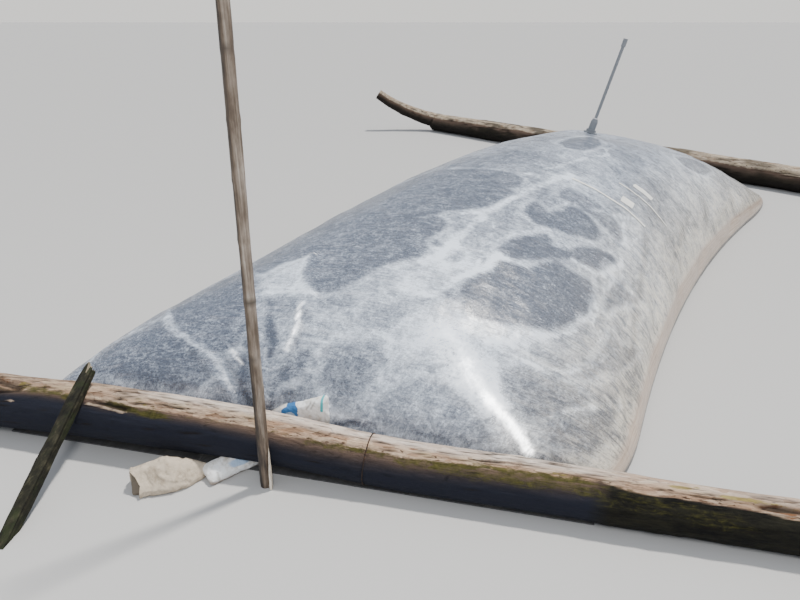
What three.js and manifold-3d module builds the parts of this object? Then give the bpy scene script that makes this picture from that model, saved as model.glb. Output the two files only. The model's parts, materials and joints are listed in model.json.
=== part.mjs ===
import * as THREE from 'three';
import { mergeVertices } from 'three/addons/utils/BufferGeometryUtils.js';
import Module from 'manifold-3d';

const wasm = await Module();
wasm.setup();

// Millimetres; +Y runs along the bag to its far end, +Z up, the ground is z = 0

// Clear distance left between neighbours that touch
const GAP = 0.3;
// The film is drawn thicker than the real half millimetre
const FILM = 6;

// Gas bag: values at the near end, the middle and the far end
const BAG_LENGTH = 6100;
const HALF_WIDTHS = [1395, 1230, 1578];
const CROWN_HEIGHTS = [488, 928, 292];
const NEAR_ROUNDING = 0.09;
const NEAR_POWER = 2.4;
const FAR_ROUNDING = 0.19;
const FAR_POWER = 2.06;
const FAR_WIDTH_SHARE = 0.79;
const RIGHT_FULLNESS = 1.13;
const LEFT_FULLNESS = 1.34;
const NEAR_SKEW = Math.tan(THREE.MathUtils.degToRad(20));
const BAG_BASE = FILM + GAP;

// Floating crust inside the bag
const CRUST_INSET = 30;
const CRUST_DEPTH = 40;

// Front log, lying across the flattened near end, thicker and a little arched towards its left end.
// Each row of a log's form is a share of its length, the radius there and the height of its underside.
const FRONT_LOG_LEFT = [-1725, -3821];
const FRONT_LOG_RIGHT = [2408, -2315];
const FRONT_LOG_FORM = [
  [0, 126, 0], [0.13, 126, 11], [0.2, 124, 30], [0.3, 122, 35], [0.4, 116, 38], [0.46, 110, 28],
  [0.52, 107, 6], [0.56, 107, 0], [1, 98, 0],
];
const FRONT_TAIL_REACH = 190;

// Rear log, lying across the flattened far end
const REAR_LOG_RIGHT = [2298, 3318];
const REAR_LOG_LEFT = [-3800, 4845];
const REAR_LOG_FORM = [[0, 142, 0], [1, 144, 0]];
const REAR_TAIL_HALF_WIDTHS = [1240, 700];
const LIMB_PATH = [
  [-3720, 4830, 160], [-3990, 4750, 225], [-4290, 4600, 345], [-4490, 4480, 465], [-4660, 4392, 590],
];
const LIMB_RADII = [122, 112, 96, 88, 80];

// Bamboo pole standing against the front log
const POLE_FOOT = [89, -3297, 0];
const POLE_TOP = [128, -3272, 2400];
const POLE_RADII = [24, 21];
const POLE_KNOT_SPACING = 285;

// Prop stake leaning over the front log
const STAKE_FOOT = [-524, -4056, 0];
const STAKE_TOP = [-821, -3441, 345];
const STAKE_WIDTH = 54;
const STAKE_DEPTH = 50;

// Wire tied over the front log, at this distance from its left end
const WIRE_STATION = 2300;
const WIRE_RADIUS = 2.5;

// Gas outlet on the crown; its riser leans to the right and tips the film with it, less and less further off
const OUTLET_ALONG = 0.655;
const OUTLET_ANGLE = 88.6;
const OUTLET_LEAN = 0.225;
const LEAN_REACH = 260;
const OUTLET_TUBE_RADIUS = 24;
const WASHER_RADIUS = 60;
const WASHER_THICKNESS = 8;
const NUT_RADIUS = 44;
const NUT_HEIGHT = 22;
const SOCKET_RADIUS = 31;
const SOCKET_HEIGHT = 92;
const RISER_RADIUS = 13.5;
const RISER_LENGTH = 640;

// Patches and strips on the film
const PATCH_THICKNESS = 1.5;
const PATCH_REACH = 30;

const root = new THREE.Group();
root.name = 'biogas_digester';

const clearFilm = { color: 0xc3c8ca, roughness: 0.18, metalness: 0 };
const slurry = { color: 0x3c3b39, roughness: 0.95, metalness: 0 };
const logWood = { color: 0xa27c5b, roughness: 0.85, metalness: 0 };
const oldWood = { color: 0x8b7660, roughness: 0.9, metalness: 0 };
const bamboo = { color: 0x86705a, roughness: 0.7, metalness: 0 };
const darkTimber = { color: 0x3d3b2c, roughness: 0.9, metalness: 0 };
const splitWood = { color: 0xcbb591, roughness: 0.8, metalness: 0 };
const wovenSack = { color: 0xb9a88c, roughness: 0.9, metalness: 0 };
const whiteSack = { color: 0xd6d8d8, roughness: 0.8, metalness: 0 };
const greyPlastic = { color: 0x74787e, roughness: 0.45, metalness: 0 };
const whitePlastic = { color: 0xdddddb, roughness: 0.5, metalness: 0 };
const darkWire = { color: 0x2c2622, roughness: 0.7, metalness: 0.6 };
const whiteTape = { color: 0xe8e6dc, roughness: 0.5, metalness: 0 };

function add(name, geometry, look) {
  geometry.computeVertexNormals();
  const mesh = new THREE.Mesh(geometry, new THREE.MeshStandardMaterial(look));
  mesh.name = name;
  root.add(mesh);
}

function indexed(points, triangles) {
  const geometry = new THREE.BufferGeometry();
  geometry.setAttribute('position', new THREE.Float32BufferAttribute(points.flat(), 3));
  geometry.setIndex(triangles.flat());
  return geometry;
}

function toSolid(geometry) {
  const plain = geometry.clone();
  plain.deleteAttribute('normal');
  plain.deleteAttribute('uv');
  const merged = mergeVertices(plain, 1e-3);
  const vertProperties = new Float32Array(merged.attributes.position.array);
  const triVerts = new Uint32Array(merged.index.array);
  return new wasm.Manifold(new wasm.Mesh({ numProp: 3, vertProperties, triVerts }));
}

function toGeometry(solid) {
  const mesh = solid.getMesh();
  const geometry = new THREE.BufferGeometry();
  geometry.setAttribute('position', new THREE.BufferAttribute(new Float32Array(mesh.vertProperties), 3));
  geometry.setIndex(new THREE.BufferAttribute(new Uint32Array(mesh.triVerts), 1));
  return geometry;
}

function cut(geometry, ...tools) {
  return toGeometry(tools.reduce((solid, tool) => solid.subtract(toSolid(tool)), toSolid(geometry)));
}

// Everything a solid has below the ground is cut away with this block
const BLOCK = 12000;
const underground = new THREE.BoxGeometry(BLOCK, BLOCK, BLOCK).translate(0, 0, -BLOCK / 2);

// A solid through rings of equal point count, each counter-clockwise seen from the last ring's side
function loft(rings) {
  const sides = rings[0].length;
  const points = rings.flat();
  const triangles = [];
  for (let ring = 0; ring + 1 < rings.length; ring += 1) {
    for (let side = 0; side < sides; side += 1) {
      const next = (side + 1) % sides;
      const low = ring * sides;
      const high = low + sides;
      triangles.push([low + side, low + next, high + next], [low + side, high + next, high + side]);
    }
  }
  for (const [ring, flip] of [[0, true], [rings.length - 1, false]]) {
    const centre = points.length;
    const sum = rings[ring].reduce((total, p) => total.map((v, k) => v + p[k]), [0, 0, 0]);
    points.push(sum.map((v) => v / sides));
    for (let side = 0; side < sides; side += 1) {
      const a = ring * sides + side;
      const b = ring * sides + ((side + 1) % sides);
      triangles.push(flip ? [centre, b, a] : [centre, a, b]);
    }
  }
  return indexed(points, triangles);
}

// A ring round an axis; radiusAt takes the angle from the side vector towards the up vector
function ring(centre, side, up, sides, radiusAt) {
  return Array.from({ length: sides }, (_, index) => {
    const angle = (index / sides) * 2 * Math.PI;
    const radius = radiusAt(angle);
    return centre.map((v, k) => v + radius * (Math.cos(angle) * side[k] + Math.sin(angle) * up[k]));
  });
}

// Round bar along a path, square to each stretch of it
function bar(path, sides, radiusAt) {
  const stations = path.map((p) => new THREE.Vector3(...p));
  const rings = stations.map((station, index) => {
    const before = stations[Math.max(index - 1, 0)];
    const after = stations[Math.min(index + 1, stations.length - 1)];
    const along = after.clone().sub(before).normalize();
    const helper = Math.abs(along.z) > 0.8 ? new THREE.Vector3(0, 1, 0) : new THREE.Vector3(0, 0, 1);
    const side = helper.clone().cross(along).normalize();
    const up = along.clone().cross(side);
    const share = index / (stations.length - 1);
    return ring(station.toArray(), side.toArray(), up.toArray(), sides, (angle) => radiusAt(share, angle));
  });
  return loft(rings);
}

function straightPath(from, to, steps) {
  return Array.from({ length: steps + 1 }, (_, i) => from.map((v, k) => v + ((to[k] - v) * i) / steps));
}

function offsetBy(distance) {
  return (point, normal) => point.clone().addScaledVector(normal, distance);
}

// Closed slab over a grid of points; lowerAt and upperAt place its faces from a point and its normal
function sheet(pointAt, us, vs, lowerAt, upperAt, flatRim) {
  const at = us.map((u) => vs.map((v) => pointAt(u, v)));
  const lower = [];
  const upper = [];
  const rows = us.length;
  const columns = vs.length;
  for (let i = 0; i < rows; i += 1) {
    for (let j = 0; j < columns; j += 1) {
      const alongU = at[Math.min(i + 1, rows - 1)][j].clone().sub(at[Math.max(i - 1, 0)][j]);
      const alongV = at[i][Math.min(j + 1, columns - 1)].clone().sub(at[i][Math.max(j - 1, 0)]);
      const normal = alongV.cross(alongU).normalize().negate();
      const onRim = i === 0 || j === 0 || i === rows - 1 || j === columns - 1;
      if (flatRim && onRim) {
        normal.setZ(0).normalize();
      }
      lower.push(lowerAt(at[i][j], normal).toArray());
      upper.push(upperAt(at[i][j], normal).toArray());
    }
  }
  const top = lower.length;
  const triangles = [];
  for (let i = 0; i + 1 < rows; i += 1) {
    for (let j = 0; j + 1 < columns; j += 1) {
      const a = i * columns + j;
      const b = a + columns;
      triangles.push([top + a, top + b, top + b + 1], [top + a, top + b + 1, top + a + 1]);
      triangles.push([a, b + 1, b], [a, a + 1, b + 1]);
    }
  }
  const rim = [];
  for (let j = 0; j < columns - 1; j += 1) rim.push(j);
  for (let i = 0; i < rows - 1; i += 1) rim.push(i * columns + columns - 1);
  for (let j = columns - 1; j > 0; j -= 1) rim.push((rows - 1) * columns + j);
  for (let i = rows - 1; i > 0; i -= 1) rim.push(i * columns);
  rim.forEach((a, index) => {
    const b = rim[(index + 1) % rim.length];
    triangles.push([a, top + b, b], [a, top + a, top + b]);
  });
  return indexed([...lower, ...upper], triangles);
}

// Upright prism on a plan outline
function prism(outline, bottom, top) {
  const shape = new THREE.Shape(outline.map(([x, y]) => new THREE.Vector2(x, y)));
  return new THREE.ExtrudeGeometry(shape, { depth: top - bottom, bevelEnabled: false }).translate(0, 0, bottom);
}

// Pillow with softly squared sides, standing at a place and turned about Z
function pillow([x, y, z], length, width, height, turn, squareness) {
  const steps = 14;
  const sides = 20;
  const rings = Array.from({ length: steps + 1 }, (_, step) => {
    const across = -Math.cos(((step + 0.35) / (steps + 0.7)) * Math.PI);
    const swell = (1 - Math.abs(across) ** squareness) ** (1 / squareness);
    return Array.from({ length: sides }, (_, index) => {
      const angle = (index / sides) * 2 * Math.PI;
      const c = Math.cos(angle);
      const s = Math.sin(angle);
      const reach = (Math.abs(c) ** squareness + Math.abs(s) ** squareness) ** (-1 / squareness);
      return [(across * length) / 2, (c * reach * swell * width) / 2, (s * reach * swell * height) / 2];
    });
  });
  return loft(rings).rotateZ(turn).translate(x, y, z);
}

function between([near, middle, far], share) {
  return near * (1 - share) * (1 - 2 * share) + 4 * middle * share * (1 - share) + far * share * (2 * share - 1);
}

function roundedEnd(share, reach, power) {
  const inside = Math.max(0, 1 - share / reach);
  return (1 - inside ** power) ** (1 / power);
}

// The gas bag's plain form: share along its length, angle in degrees from the right edge over the crown
function plainBagPoint(share, degrees) {
  const rise = roundedEnd(share, NEAR_ROUNDING, NEAR_POWER);
  const fall = roundedEnd(1 - share, FAR_ROUNDING, FAR_POWER);
  const narrowing = (FAR_WIDTH_SHARE + (1 - FAR_WIDTH_SHARE) * fall) * (0.9 + 0.1 * rise);
  const angle = THREE.MathUtils.degToRad(degrees);
  const fullness = degrees < 90 ? RIGHT_FULLNESS : LEFT_FULLNESS;
  const x = Math.cos(angle) * between(HALF_WIDTHS, share) * narrowing;
  const y = x * NEAR_SKEW * (1 - share) + BAG_LENGTH * (share - 0.5);
  const height = between(CROWN_HEIGHTS, share) * rise * fall * Math.max(Math.sin(angle), 0) ** fullness;
  return new THREE.Vector3(x, y, BAG_BASE + height);
}

// Outside of the gas bag, tipped round the outlet
const outletPlace = plainBagPoint(OUTLET_ALONG, OUTLET_ANGLE);
function bagPoint(share, degrees) {
  const point = plainBagPoint(share, degrees);
  const aside = point.x - outletPlace.x;
  const away = Math.hypot(aside, point.y - outletPlace.y) / LEAN_REACH;
  point.z -= Math.min(OUTLET_LEAN * aside * Math.exp(-away * away), point.z - BAG_BASE);
  return point;
}

// Grid over the bag, finer at its ends, its edges and round the gas outlet
const ascending = (a, b) => a - b;
const SHARES = [
  0, 0.003, 0.009, 0.018, 0.03, 0.046, 0.066, 0.09,
  ...Array.from({ length: 16 }, (_, i) => 0.13 + i * 0.044),
  OUTLET_ALONG - 0.011, OUTLET_ALONG, OUTLET_ALONG + 0.011,
  0.83, 0.865, 0.895, 0.922, 0.946, 0.966, 0.981, 0.991, 0.997, 1,
].sort(ascending);
const DEGREES = [
  0, 3, 7, 12, 18, 25, 33, 42, 51, 60, 70, 79,
  OUTLET_ANGLE - 3, OUTLET_ANGLE, OUTLET_ANGLE + 3,
  95, 103, 112, 120, 129, 138, 147, 155, 162, 168, 173, 177, 180,
];

// Plan outline of the bag on its floor, drawn in by a distance at its sides and its ends
function bagOutline(inset) {
  const endShare = inset / BAG_LENGTH;
  const place = (share, degrees) => {
    const point = bagPoint(endShare + share * (1 - 2 * endShare), degrees);
    const halfWidth = between(HALF_WIDTHS, share);
    return [point.x * (1 - inset / halfWidth), point.y];
  };
  return [
    ...SHARES.map((share) => place(share, 0)),
    ...DEGREES.slice(1).map((degrees) => place(1, degrees)),
    ...SHARES.slice(0, -1).reverse().map((share) => place(share, 180)),
    ...DEGREES.slice(1, -1).reverse().map((degrees) => place(0, degrees)),
  ];
}

// The outlet's axis is the film's normal there
const outletNormal = bagPoint(OUTLET_ALONG + 0.01, OUTLET_ANGLE)
  .sub(bagPoint(OUTLET_ALONG - 0.01, OUTLET_ANGLE))
  .cross(bagPoint(OUTLET_ALONG, OUTLET_ANGLE + 2).sub(bagPoint(OUTLET_ALONG, OUTLET_ANGLE - 2)))
  .normalize();
const outletTurn = new THREE.Quaternion().setFromUnitVectors(new THREE.Vector3(0, 0, 1), outletNormal);

// A turned fitting on the outlet's axis; the profile is (radius, height above the film)
function atOutlet(geometry) {
  return geometry.rotateX(Math.PI / 2).applyQuaternion(outletTurn).translate(...outletPlace.toArray());
}

function fitting(profile, sides) {
  const points = profile.map(([radius, height]) => new THREE.Vector2(radius, height));
  return atOutlet(new THREE.LatheGeometry([...points, points[0]], sides));
}

function tube(inner, outer, bottom, top, sides) {
  return fitting([[inner, bottom], [outer, bottom], [outer, top], [inner, top]], sides);
}

// The gas bag's film
const holeRadius = OUTLET_TUBE_RADIUS + GAP;
const outletHole = atOutlet(new THREE.CylinderGeometry(holeRadius, holeRadius, 160, 24));
const bagShell = sheet(bagPoint, SHARES, DEGREES, offsetBy(-FILM), offsetBy(0), true);
const belowBag = underground.clone().translate(0, 0, BAG_BASE);
add('gas_bag_film', cut(bagShell, outletHole, belowBag), clearFilm);
add('floor_film', prism(bagOutline(0), 0, FILM), clearFilm);
const bagInside = sheet(bagPoint, SHARES, DEGREES, (point) => point.clone().setZ(-FILM), offsetBy(-2 * FILM), true);
const crustSlab = prism(bagOutline(CRUST_INSET), BAG_BASE, BAG_BASE + CRUST_DEPTH);
add('slurry_crust', toGeometry(toSolid(crustSlab).intersect(toSolid(bagInside))), slurry);

// Flattened film at both ends
const nearLeft = bagPoint(0, 180);
const nearRight = bagPoint(0, 0);
const nearDirection = nearRight.clone().sub(nearLeft).normalize();
const outward = new THREE.Vector3(nearDirection.y, -nearDirection.x, 0);
function frontTail(grow) {
  const from = nearLeft.clone().addScaledVector(outward, GAP - grow).addScaledVector(nearDirection, -grow);
  const to = nearRight.clone().addScaledVector(outward, GAP - grow).addScaledVector(nearDirection, grow);
  const reach = FRONT_TAIL_REACH + 2 * grow;
  const corners = [from.clone().addScaledVector(outward, reach), to.clone().addScaledVector(outward, reach), to, from];
  return prism(corners.map((p) => [p.x, p.y]), -grow, FILM + grow);
}
add('front_tail_film', frontTail(0), clearFilm);

function rearTail(grow) {
  const [wide, narrow] = REAR_TAIL_HALF_WIDTHS;
  const start = BAG_LENGTH / 2 + GAP - grow;
  const outline = [[-wide - grow, start], [wide + grow, start]];
  outline.push([narrow + grow, 3740 + grow], [-narrow - grow, 4060 + grow]);
  return prism(outline, -grow, FILM + grow);
}
add('rear_tail_film', rearTail(0), clearFilm);

// Logs: uneven round bars whose lowest line lies on the ground
function formAt(form, share, column) {
  const index = Math.max(form.findIndex(([stop]) => stop >= share), 1);
  const [before, after] = [form[index - 1], form[index]];
  const part = (share - before[0]) / (after[0] - before[0]);
  return before[column] + (after[column] - before[column]) * part;
}

// Height of a log's middle line: the bar is pressed a little into the ground
function middleHeight(form, share) {
  return formAt(form, share, 1) * 0.98 + formAt(form, share, 2);
}

function unevenRadius(form, seed) {
  return (share, angle) => {
    const base = formAt(form, share, 1);
    const swell = Math.sin(share * 9.1 + seed) * 0.025 + Math.sin(share * 23.3 + 2 * angle + seed) * 0.018;
    return base * (1 + swell + 0.022 * Math.sin(3 * angle + share * 7 + seed));
  };
}

function logSolid(from, to, form, seed, grow) {
  const radiusAt = unevenRadius(form, seed);
  const along = new THREE.Vector2(...to).sub(new THREE.Vector2(...from)).setLength(grow);
  const start = [from[0] - along.x, from[1] - along.y];
  const end = [to[0] + along.x, to[1] + along.y];
  const path = straightPath(start, end, 26).map((plan, index) => [...plan, middleHeight(form, index / 26)]);
  return bar(path, 22, (share, angle) => radiusAt(share, angle) + grow);
}

function poleSolid(grow) {
  const steps = 32;
  const length = new THREE.Vector3(...POLE_TOP).distanceTo(new THREE.Vector3(...POLE_FOOT));
  return bar(straightPath(POLE_FOOT, POLE_TOP, steps), 14, (share) => {
    const fromKnot = Math.abs(((share * length) / POLE_KNOT_SPACING + 0.5) % 1 - 0.5) * POLE_KNOT_SPACING;
    const knot = fromKnot < 30 ? 2.5 : 0;
    return POLE_RADII[0] + (POLE_RADII[1] - POLE_RADII[0]) * share + knot + grow;
  });
}

const frontLog = logSolid(FRONT_LOG_LEFT, FRONT_LOG_RIGHT, FRONT_LOG_FORM, 1, 0);
const frontLogGrown = logSolid(FRONT_LOG_LEFT, FRONT_LOG_RIGHT, FRONT_LOG_FORM, 1, GAP);
const pole = poleSolid(0);
const bagFilled = sheet(bagPoint, SHARES, DEGREES, (point) => point.clone().setZ(-FILM), offsetBy(GAP), true);
add('front_log', cut(frontLog, underground, frontTail(GAP), poleSolid(GAP)), logWood);

const rearLog = logSolid(REAR_LOG_RIGHT, REAR_LOG_LEFT, REAR_LOG_FORM, 4, 0);
const rearLogGrown = logSolid(REAR_LOG_RIGHT, REAR_LOG_LEFT, REAR_LOG_FORM, 4, GAP);
add('rear_log', cut(rearLog, underground, rearTail(GAP)), oldWood);

const limb = bar(LIMB_PATH, 14, (share) => {
  const place = share * (LIMB_RADII.length - 1);
  const index = Math.min(Math.floor(place), LIMB_RADII.length - 2);
  return LIMB_RADII[index] + (LIMB_RADII[index + 1] - LIMB_RADII[index]) * (place - index);
});
add('rear_log_limb', cut(limb, rearLogGrown), oldWood);

add('bamboo_pole', pole, bamboo);

// Split splinter standing at the pole's foot
const splint = new THREE.BoxGeometry(9, 26, 210).rotateY(0.05).rotateZ(0.55).translate(123, -3300, 100);
add('pole_foot_splint', cut(splint, underground, poleSolid(GAP), frontLogGrown), splitWood);

// Prop stake: squared timber with a broken top
const stakeFoot = new THREE.Vector3(...STAKE_FOOT);
const stakeTop = new THREE.Vector3(...STAKE_TOP);
const stakeAlong = stakeTop.clone().sub(stakeFoot).normalize();
const stakeSide = new THREE.Vector3(0, 0, 1).cross(stakeAlong).normalize();
const stakeUp = stakeAlong.clone().cross(stakeSide);
function stakeRing(distance, width, depth) {
  const centre = stakeFoot.clone().addScaledVector(stakeAlong, distance);
  return [[1, 1], [-1, 1], [-1, -1], [1, -1]].map(([side, up]) =>
    centre.clone().addScaledVector(stakeSide, (side * width) / 2).addScaledVector(stakeUp, (up * depth) / 2).toArray());
}
const stakeLength = stakeTop.distanceTo(stakeFoot);
const stake = loft([
  stakeRing(-150, STAKE_WIDTH, STAKE_DEPTH),
  stakeRing(stakeLength - 90, STAKE_WIDTH, STAKE_DEPTH),
  stakeRing(stakeLength - 20, STAKE_WIDTH * 0.7, STAKE_DEPTH * 0.8),
  stakeRing(stakeLength, STAKE_WIDTH * 0.35, STAKE_DEPTH * 0.5),
]);
add('prop_stake', cut(stake, underground, frontLogGrown), darkTimber);

// Wire over the front log, from the ground on one side to the ground on the other
const logStart = new THREE.Vector3(...FRONT_LOG_LEFT, 0);
const logEnd = new THREE.Vector3(...FRONT_LOG_RIGHT, 0);
const logAlong = logEnd.clone().sub(logStart).normalize();
const logSide = new THREE.Vector3(0, 0, 1).cross(logAlong).normalize();
const wireShare = WIRE_STATION / logEnd.distanceTo(logStart);
const logRadiusAt = unevenRadius(FRONT_LOG_FORM, 1);
const wirePath = Array.from({ length: 25 }, (_, index) => {
  const angle = THREE.MathUtils.degToRad(-40 + index * 10.8);
  const radius = logRadiusAt(wireShare, angle) + WIRE_RADIUS;
  return logStart.clone()
    .addScaledVector(logAlong, WIRE_STATION)
    .addScaledVector(logSide, radius * Math.cos(angle))
    .add(new THREE.Vector3(0, 0, middleHeight(FRONT_LOG_FORM, wireShare) + radius * Math.sin(angle)))
    .toArray();
});
add('log_wire_tie', cut(bar(wirePath, 8, () => WIRE_RADIUS), underground, frontLogGrown), darkWire);

// Sacks round the front log
const plainSack = pillow([-266, -3508, 52], 325, 175, 126, THREE.MathUtils.degToRad(45), 2.6);
const printedSack = pillow([-97, -3300, 32], 243, 104, 78, THREE.MathUtils.degToRad(68), 2.8);
const printedSackGrown = pillow([-97, -3300, 32], 243.6, 104.6, 78.6, THREE.MathUtils.degToRad(68), 2.8);
const sackPad = pillow([31, -3008, 205], 278, 110, 150, THREE.MathUtils.degToRad(20), 3);
add('plain_sack', cut(plainSack, underground, frontLogGrown, printedSackGrown), wovenSack);
add('printed_sack', cut(printedSack, underground, frontTail(GAP), frontLogGrown, poleSolid(GAP)), whiteSack);
add('sack_pad', cut(sackPad, frontLogGrown, bagFilled), whiteSack);

// Gas outlet fittings, from inside the film to the riser
const outerFace = GAP + 1.2;
const innerFace = -FILM - GAP - 3;
function nut(bottom) {
  const middle = bottom + NUT_HEIGHT / 2;
  return cut(atOutlet(new THREE.CylinderGeometry(NUT_RADIUS, NUT_RADIUS, NUT_HEIGHT, 6).translate(0, middle, 0)), outletHole);
}
add('outlet_inner_nut', nut(innerFace - WASHER_THICKNESS - GAP - NUT_HEIGHT), greyPlastic);
add('outlet_inner_washer', tube(OUTLET_TUBE_RADIUS + GAP, WASHER_RADIUS, innerFace - WASHER_THICKNESS, innerFace, 32),
  greyPlastic);
add('outlet_outer_washer', tube(OUTLET_TUBE_RADIUS + GAP, WASHER_RADIUS, outerFace, outerFace + WASHER_THICKNESS, 32),
  greyPlastic);
const nutBottom = outerFace + WASHER_THICKNESS + GAP;
add('outlet_lock_nut', nut(nutBottom), greyPlastic);
const tubeTop = nutBottom + NUT_HEIGHT + 30;
add('outlet_tube', tube(16, OUTLET_TUBE_RADIUS, innerFace - WASHER_THICKNESS - NUT_HEIGHT - 12, tubeTop, 28), greyPlastic);
const socketBottom = nutBottom + NUT_HEIGHT + GAP;
const socketTop = socketBottom + SOCKET_HEIGHT;
add('outlet_socket', fitting([
  [OUTLET_TUBE_RADIUS + GAP, socketBottom],
  [SOCKET_RADIUS, socketBottom],
  [SOCKET_RADIUS, socketTop - 26],
  [SOCKET_RADIUS - 8, socketTop],
  [RISER_RADIUS + GAP, socketTop],
  [RISER_RADIUS + GAP, socketTop - 40],
  [OUTLET_TUBE_RADIUS + GAP, socketTop - 40],
], 28), greyPlastic);
add('socket_glue_ring', tube(RISER_RADIUS + GAP, 19, socketTop + GAP, socketTop + GAP + 10, 24), whitePlastic);
add('riser_pipe', tube(10, RISER_RADIUS, socketTop - 38, socketTop + RISER_LENGTH, 18), greyPlastic);
const couplingBottom = socketTop + RISER_LENGTH - 28;
add('riser_coupling', fitting([
  [RISER_RADIUS + GAP, couplingBottom],
  [19, couplingBottom],
  [19, couplingBottom + 64],
  [8, couplingBottom + 64],
  [8, couplingBottom + 28 + GAP],
  [RISER_RADIUS + GAP, couplingBottom + 28 + GAP],
], 20), greyPlastic);

// Plain white patches and strips on the film's right shoulder, cut out of a skin just above the film
const patchSkin = sheet(bagPoint, SHARES, DEGREES, offsetBy(GAP), offsetBy(GAP + PATCH_THICKNESS), true);
function patch(name, share, degrees, length, width, turn) {
  const sharePerMm = 1 / BAG_LENGTH;
  const degreesPerMm = 1 / bagPoint(share, degrees + 0.5).distanceTo(bagPoint(share, degrees - 0.5));
  const c = Math.cos(turn);
  const s = Math.sin(turn);
  const pointAt = (u, v) => bagPoint(share + (c * u - s * v) * sharePerMm, degrees + (s * u + c * v) * degreesPerMm);
  const acrossSteps = 4;
  const alongSteps = Math.max(4, Math.round(length / 40));
  const us = Array.from({ length: acrossSteps + 1 }, (_, i) => (i / acrossSteps - 0.5) * width);
  const vs = Array.from({ length: alongSteps + 1 }, (_, i) => (i / alongSteps - 0.5) * length);
  const outline = sheet(pointAt, us, vs, offsetBy(-PATCH_REACH), offsetBy(PATCH_REACH), false);
  add(name, toGeometry(toSolid(patchSkin).intersect(toSolid(outline))), whiteTape);
}
patch('film_patch_large', 0.433, 49.3, 165, 70, 0);
patch('film_patch_small', 0.375, 50.5, 95, 110, 0.1);
patch('film_strip_front', 0.355, 54.5, 560, 22, 0);
patch('film_strip_rear', 0.411, 46, 440, 14, 0);

export default root;
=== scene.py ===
import json
import math
import random
import bpy
import numpy as np
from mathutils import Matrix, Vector, noise


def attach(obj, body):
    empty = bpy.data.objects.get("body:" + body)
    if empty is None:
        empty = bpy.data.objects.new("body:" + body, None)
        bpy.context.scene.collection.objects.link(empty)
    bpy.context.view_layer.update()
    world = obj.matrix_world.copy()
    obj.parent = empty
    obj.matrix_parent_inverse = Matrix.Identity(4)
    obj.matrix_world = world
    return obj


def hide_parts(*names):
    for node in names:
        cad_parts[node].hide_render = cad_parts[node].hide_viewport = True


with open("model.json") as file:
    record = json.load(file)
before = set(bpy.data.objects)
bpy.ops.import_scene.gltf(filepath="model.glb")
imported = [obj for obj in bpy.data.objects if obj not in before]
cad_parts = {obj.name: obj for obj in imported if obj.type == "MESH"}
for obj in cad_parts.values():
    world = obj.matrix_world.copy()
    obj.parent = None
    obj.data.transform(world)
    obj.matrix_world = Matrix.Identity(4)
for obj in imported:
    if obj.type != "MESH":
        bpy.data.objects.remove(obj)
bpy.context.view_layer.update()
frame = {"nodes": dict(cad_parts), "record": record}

# Metres; +Y runs along the bag to its far end, +Z up, the floor is z = 0

# The gas bag, as in the part's source
BAG_LENGTH = 6.1
HALF_WIDTHS = (1.395, 1.230, 1.578)
CROWN_HEIGHTS = (0.488, 0.928, 0.292)
NEAR_ROUNDING, NEAR_POWER = 0.09, 2.4
FAR_ROUNDING, FAR_POWER = 0.19, 2.06
FAR_WIDTH_SHARE, NEAR_WIDTH_SHARE = 0.79, 0.9
RIGHT_FULLNESS, LEFT_FULLNESS = 1.13, 1.34
NEAR_SKEW = math.tan(math.radians(20))
BAG_BASE = 0.0063
FILM_SHOWN = 0.002

# The logs, as in the part's source: ends in plan; share of the length, radius and underside's height
FRONT_LOG = ((-1.725, -3.821), (2.408, -2.315))
FRONT_LOG_FORM = (
    (0, 0.126, 0), (0.13, 0.126, 0.011), (0.20, 0.124, 0.030), (0.30, 0.122, 0.035), (0.40, 0.116, 0.038),
    (0.46, 0.110, 0.028), (0.52, 0.107, 0.006), (0.56, 0.107, 0), (1, 0.098, 0),
)
REAR_LOG = ((2.298, 3.318), (-3.800, 4.845))
REAR_LOG_FORM = ((0, 0.142, 0), (1, 0.144, 0))
# A log's middle stands a little lower than its radius, so that it beds into the ground
BEDDING = 0.98
# Radii at which the bark of each log is unrolled into a flat map
FRONT_BARK, REAR_BARK = 0.108, 0.155

# Camera, fitted to the photographed outline: eye height, tilt below the horizon and lens
EYE = Vector((1.682, -4.715, 1.8))
EYE_FORWARD = Vector((-0.5441, 0.8390, 0.0))
EYE_RIGHT = Vector((0.8390, 0.5441, 0.0))
EYE_TILT = math.radians(24.6)
SENSOR_WIDTH = 36.0
FOCAL_PIXELS, IMAGE_WIDTH, IMAGE_HEIGHT = 620.0, 800.0, 600.0

# Noise: how far a seed shifts it along each axis, and how its finer layers fall off
CLOUD_STEPS = (7.31, 3.17, 5.71)
CLOUD_FALL, CLOUD_GROWTH = 0.6, 2.1


# Selecting and shaping

def select_only(piece):
    bpy.ops.object.select_all(action="DESELECT")
    piece.select_set(True)
    bpy.context.view_layer.objects.active = piece


def named(name):
    piece = bpy.context.view_layer.objects.active
    piece.name = name
    piece.data.name = name
    return piece


def modify(piece, kind, **settings):
    select_only(piece)
    modifier = piece.modifiers.new(kind.title(), kind)
    for name, value in settings.items():
        setattr(modifier, name, value)
    bpy.ops.object.modifier_apply(modifier=modifier.name)


def edit(piece, pick_edges=None, pick_faces=None):
    """Opens edit mode with only the edges or faces that the test picks by their place."""
    select_only(piece)
    bpy.ops.object.mode_set(mode="EDIT")
    bpy.ops.mesh.select_mode(type="EDGE" if pick_edges else "FACE")
    bpy.ops.mesh.select_all(action="DESELECT")
    bpy.ops.object.mode_set(mode="OBJECT")
    mesh = piece.data
    if pick_edges:
        for edge in mesh.edges:
            a, b = (mesh.vertices[i].co for i in edge.vertices)
            edge.select = pick_edges(a, b)
    if pick_faces:
        for face in mesh.polygons:
            face.select = pick_faces(face)
    bpy.ops.object.mode_set(mode="EDIT")


def close_edit():
    bpy.ops.object.mode_set(mode="OBJECT")


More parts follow.
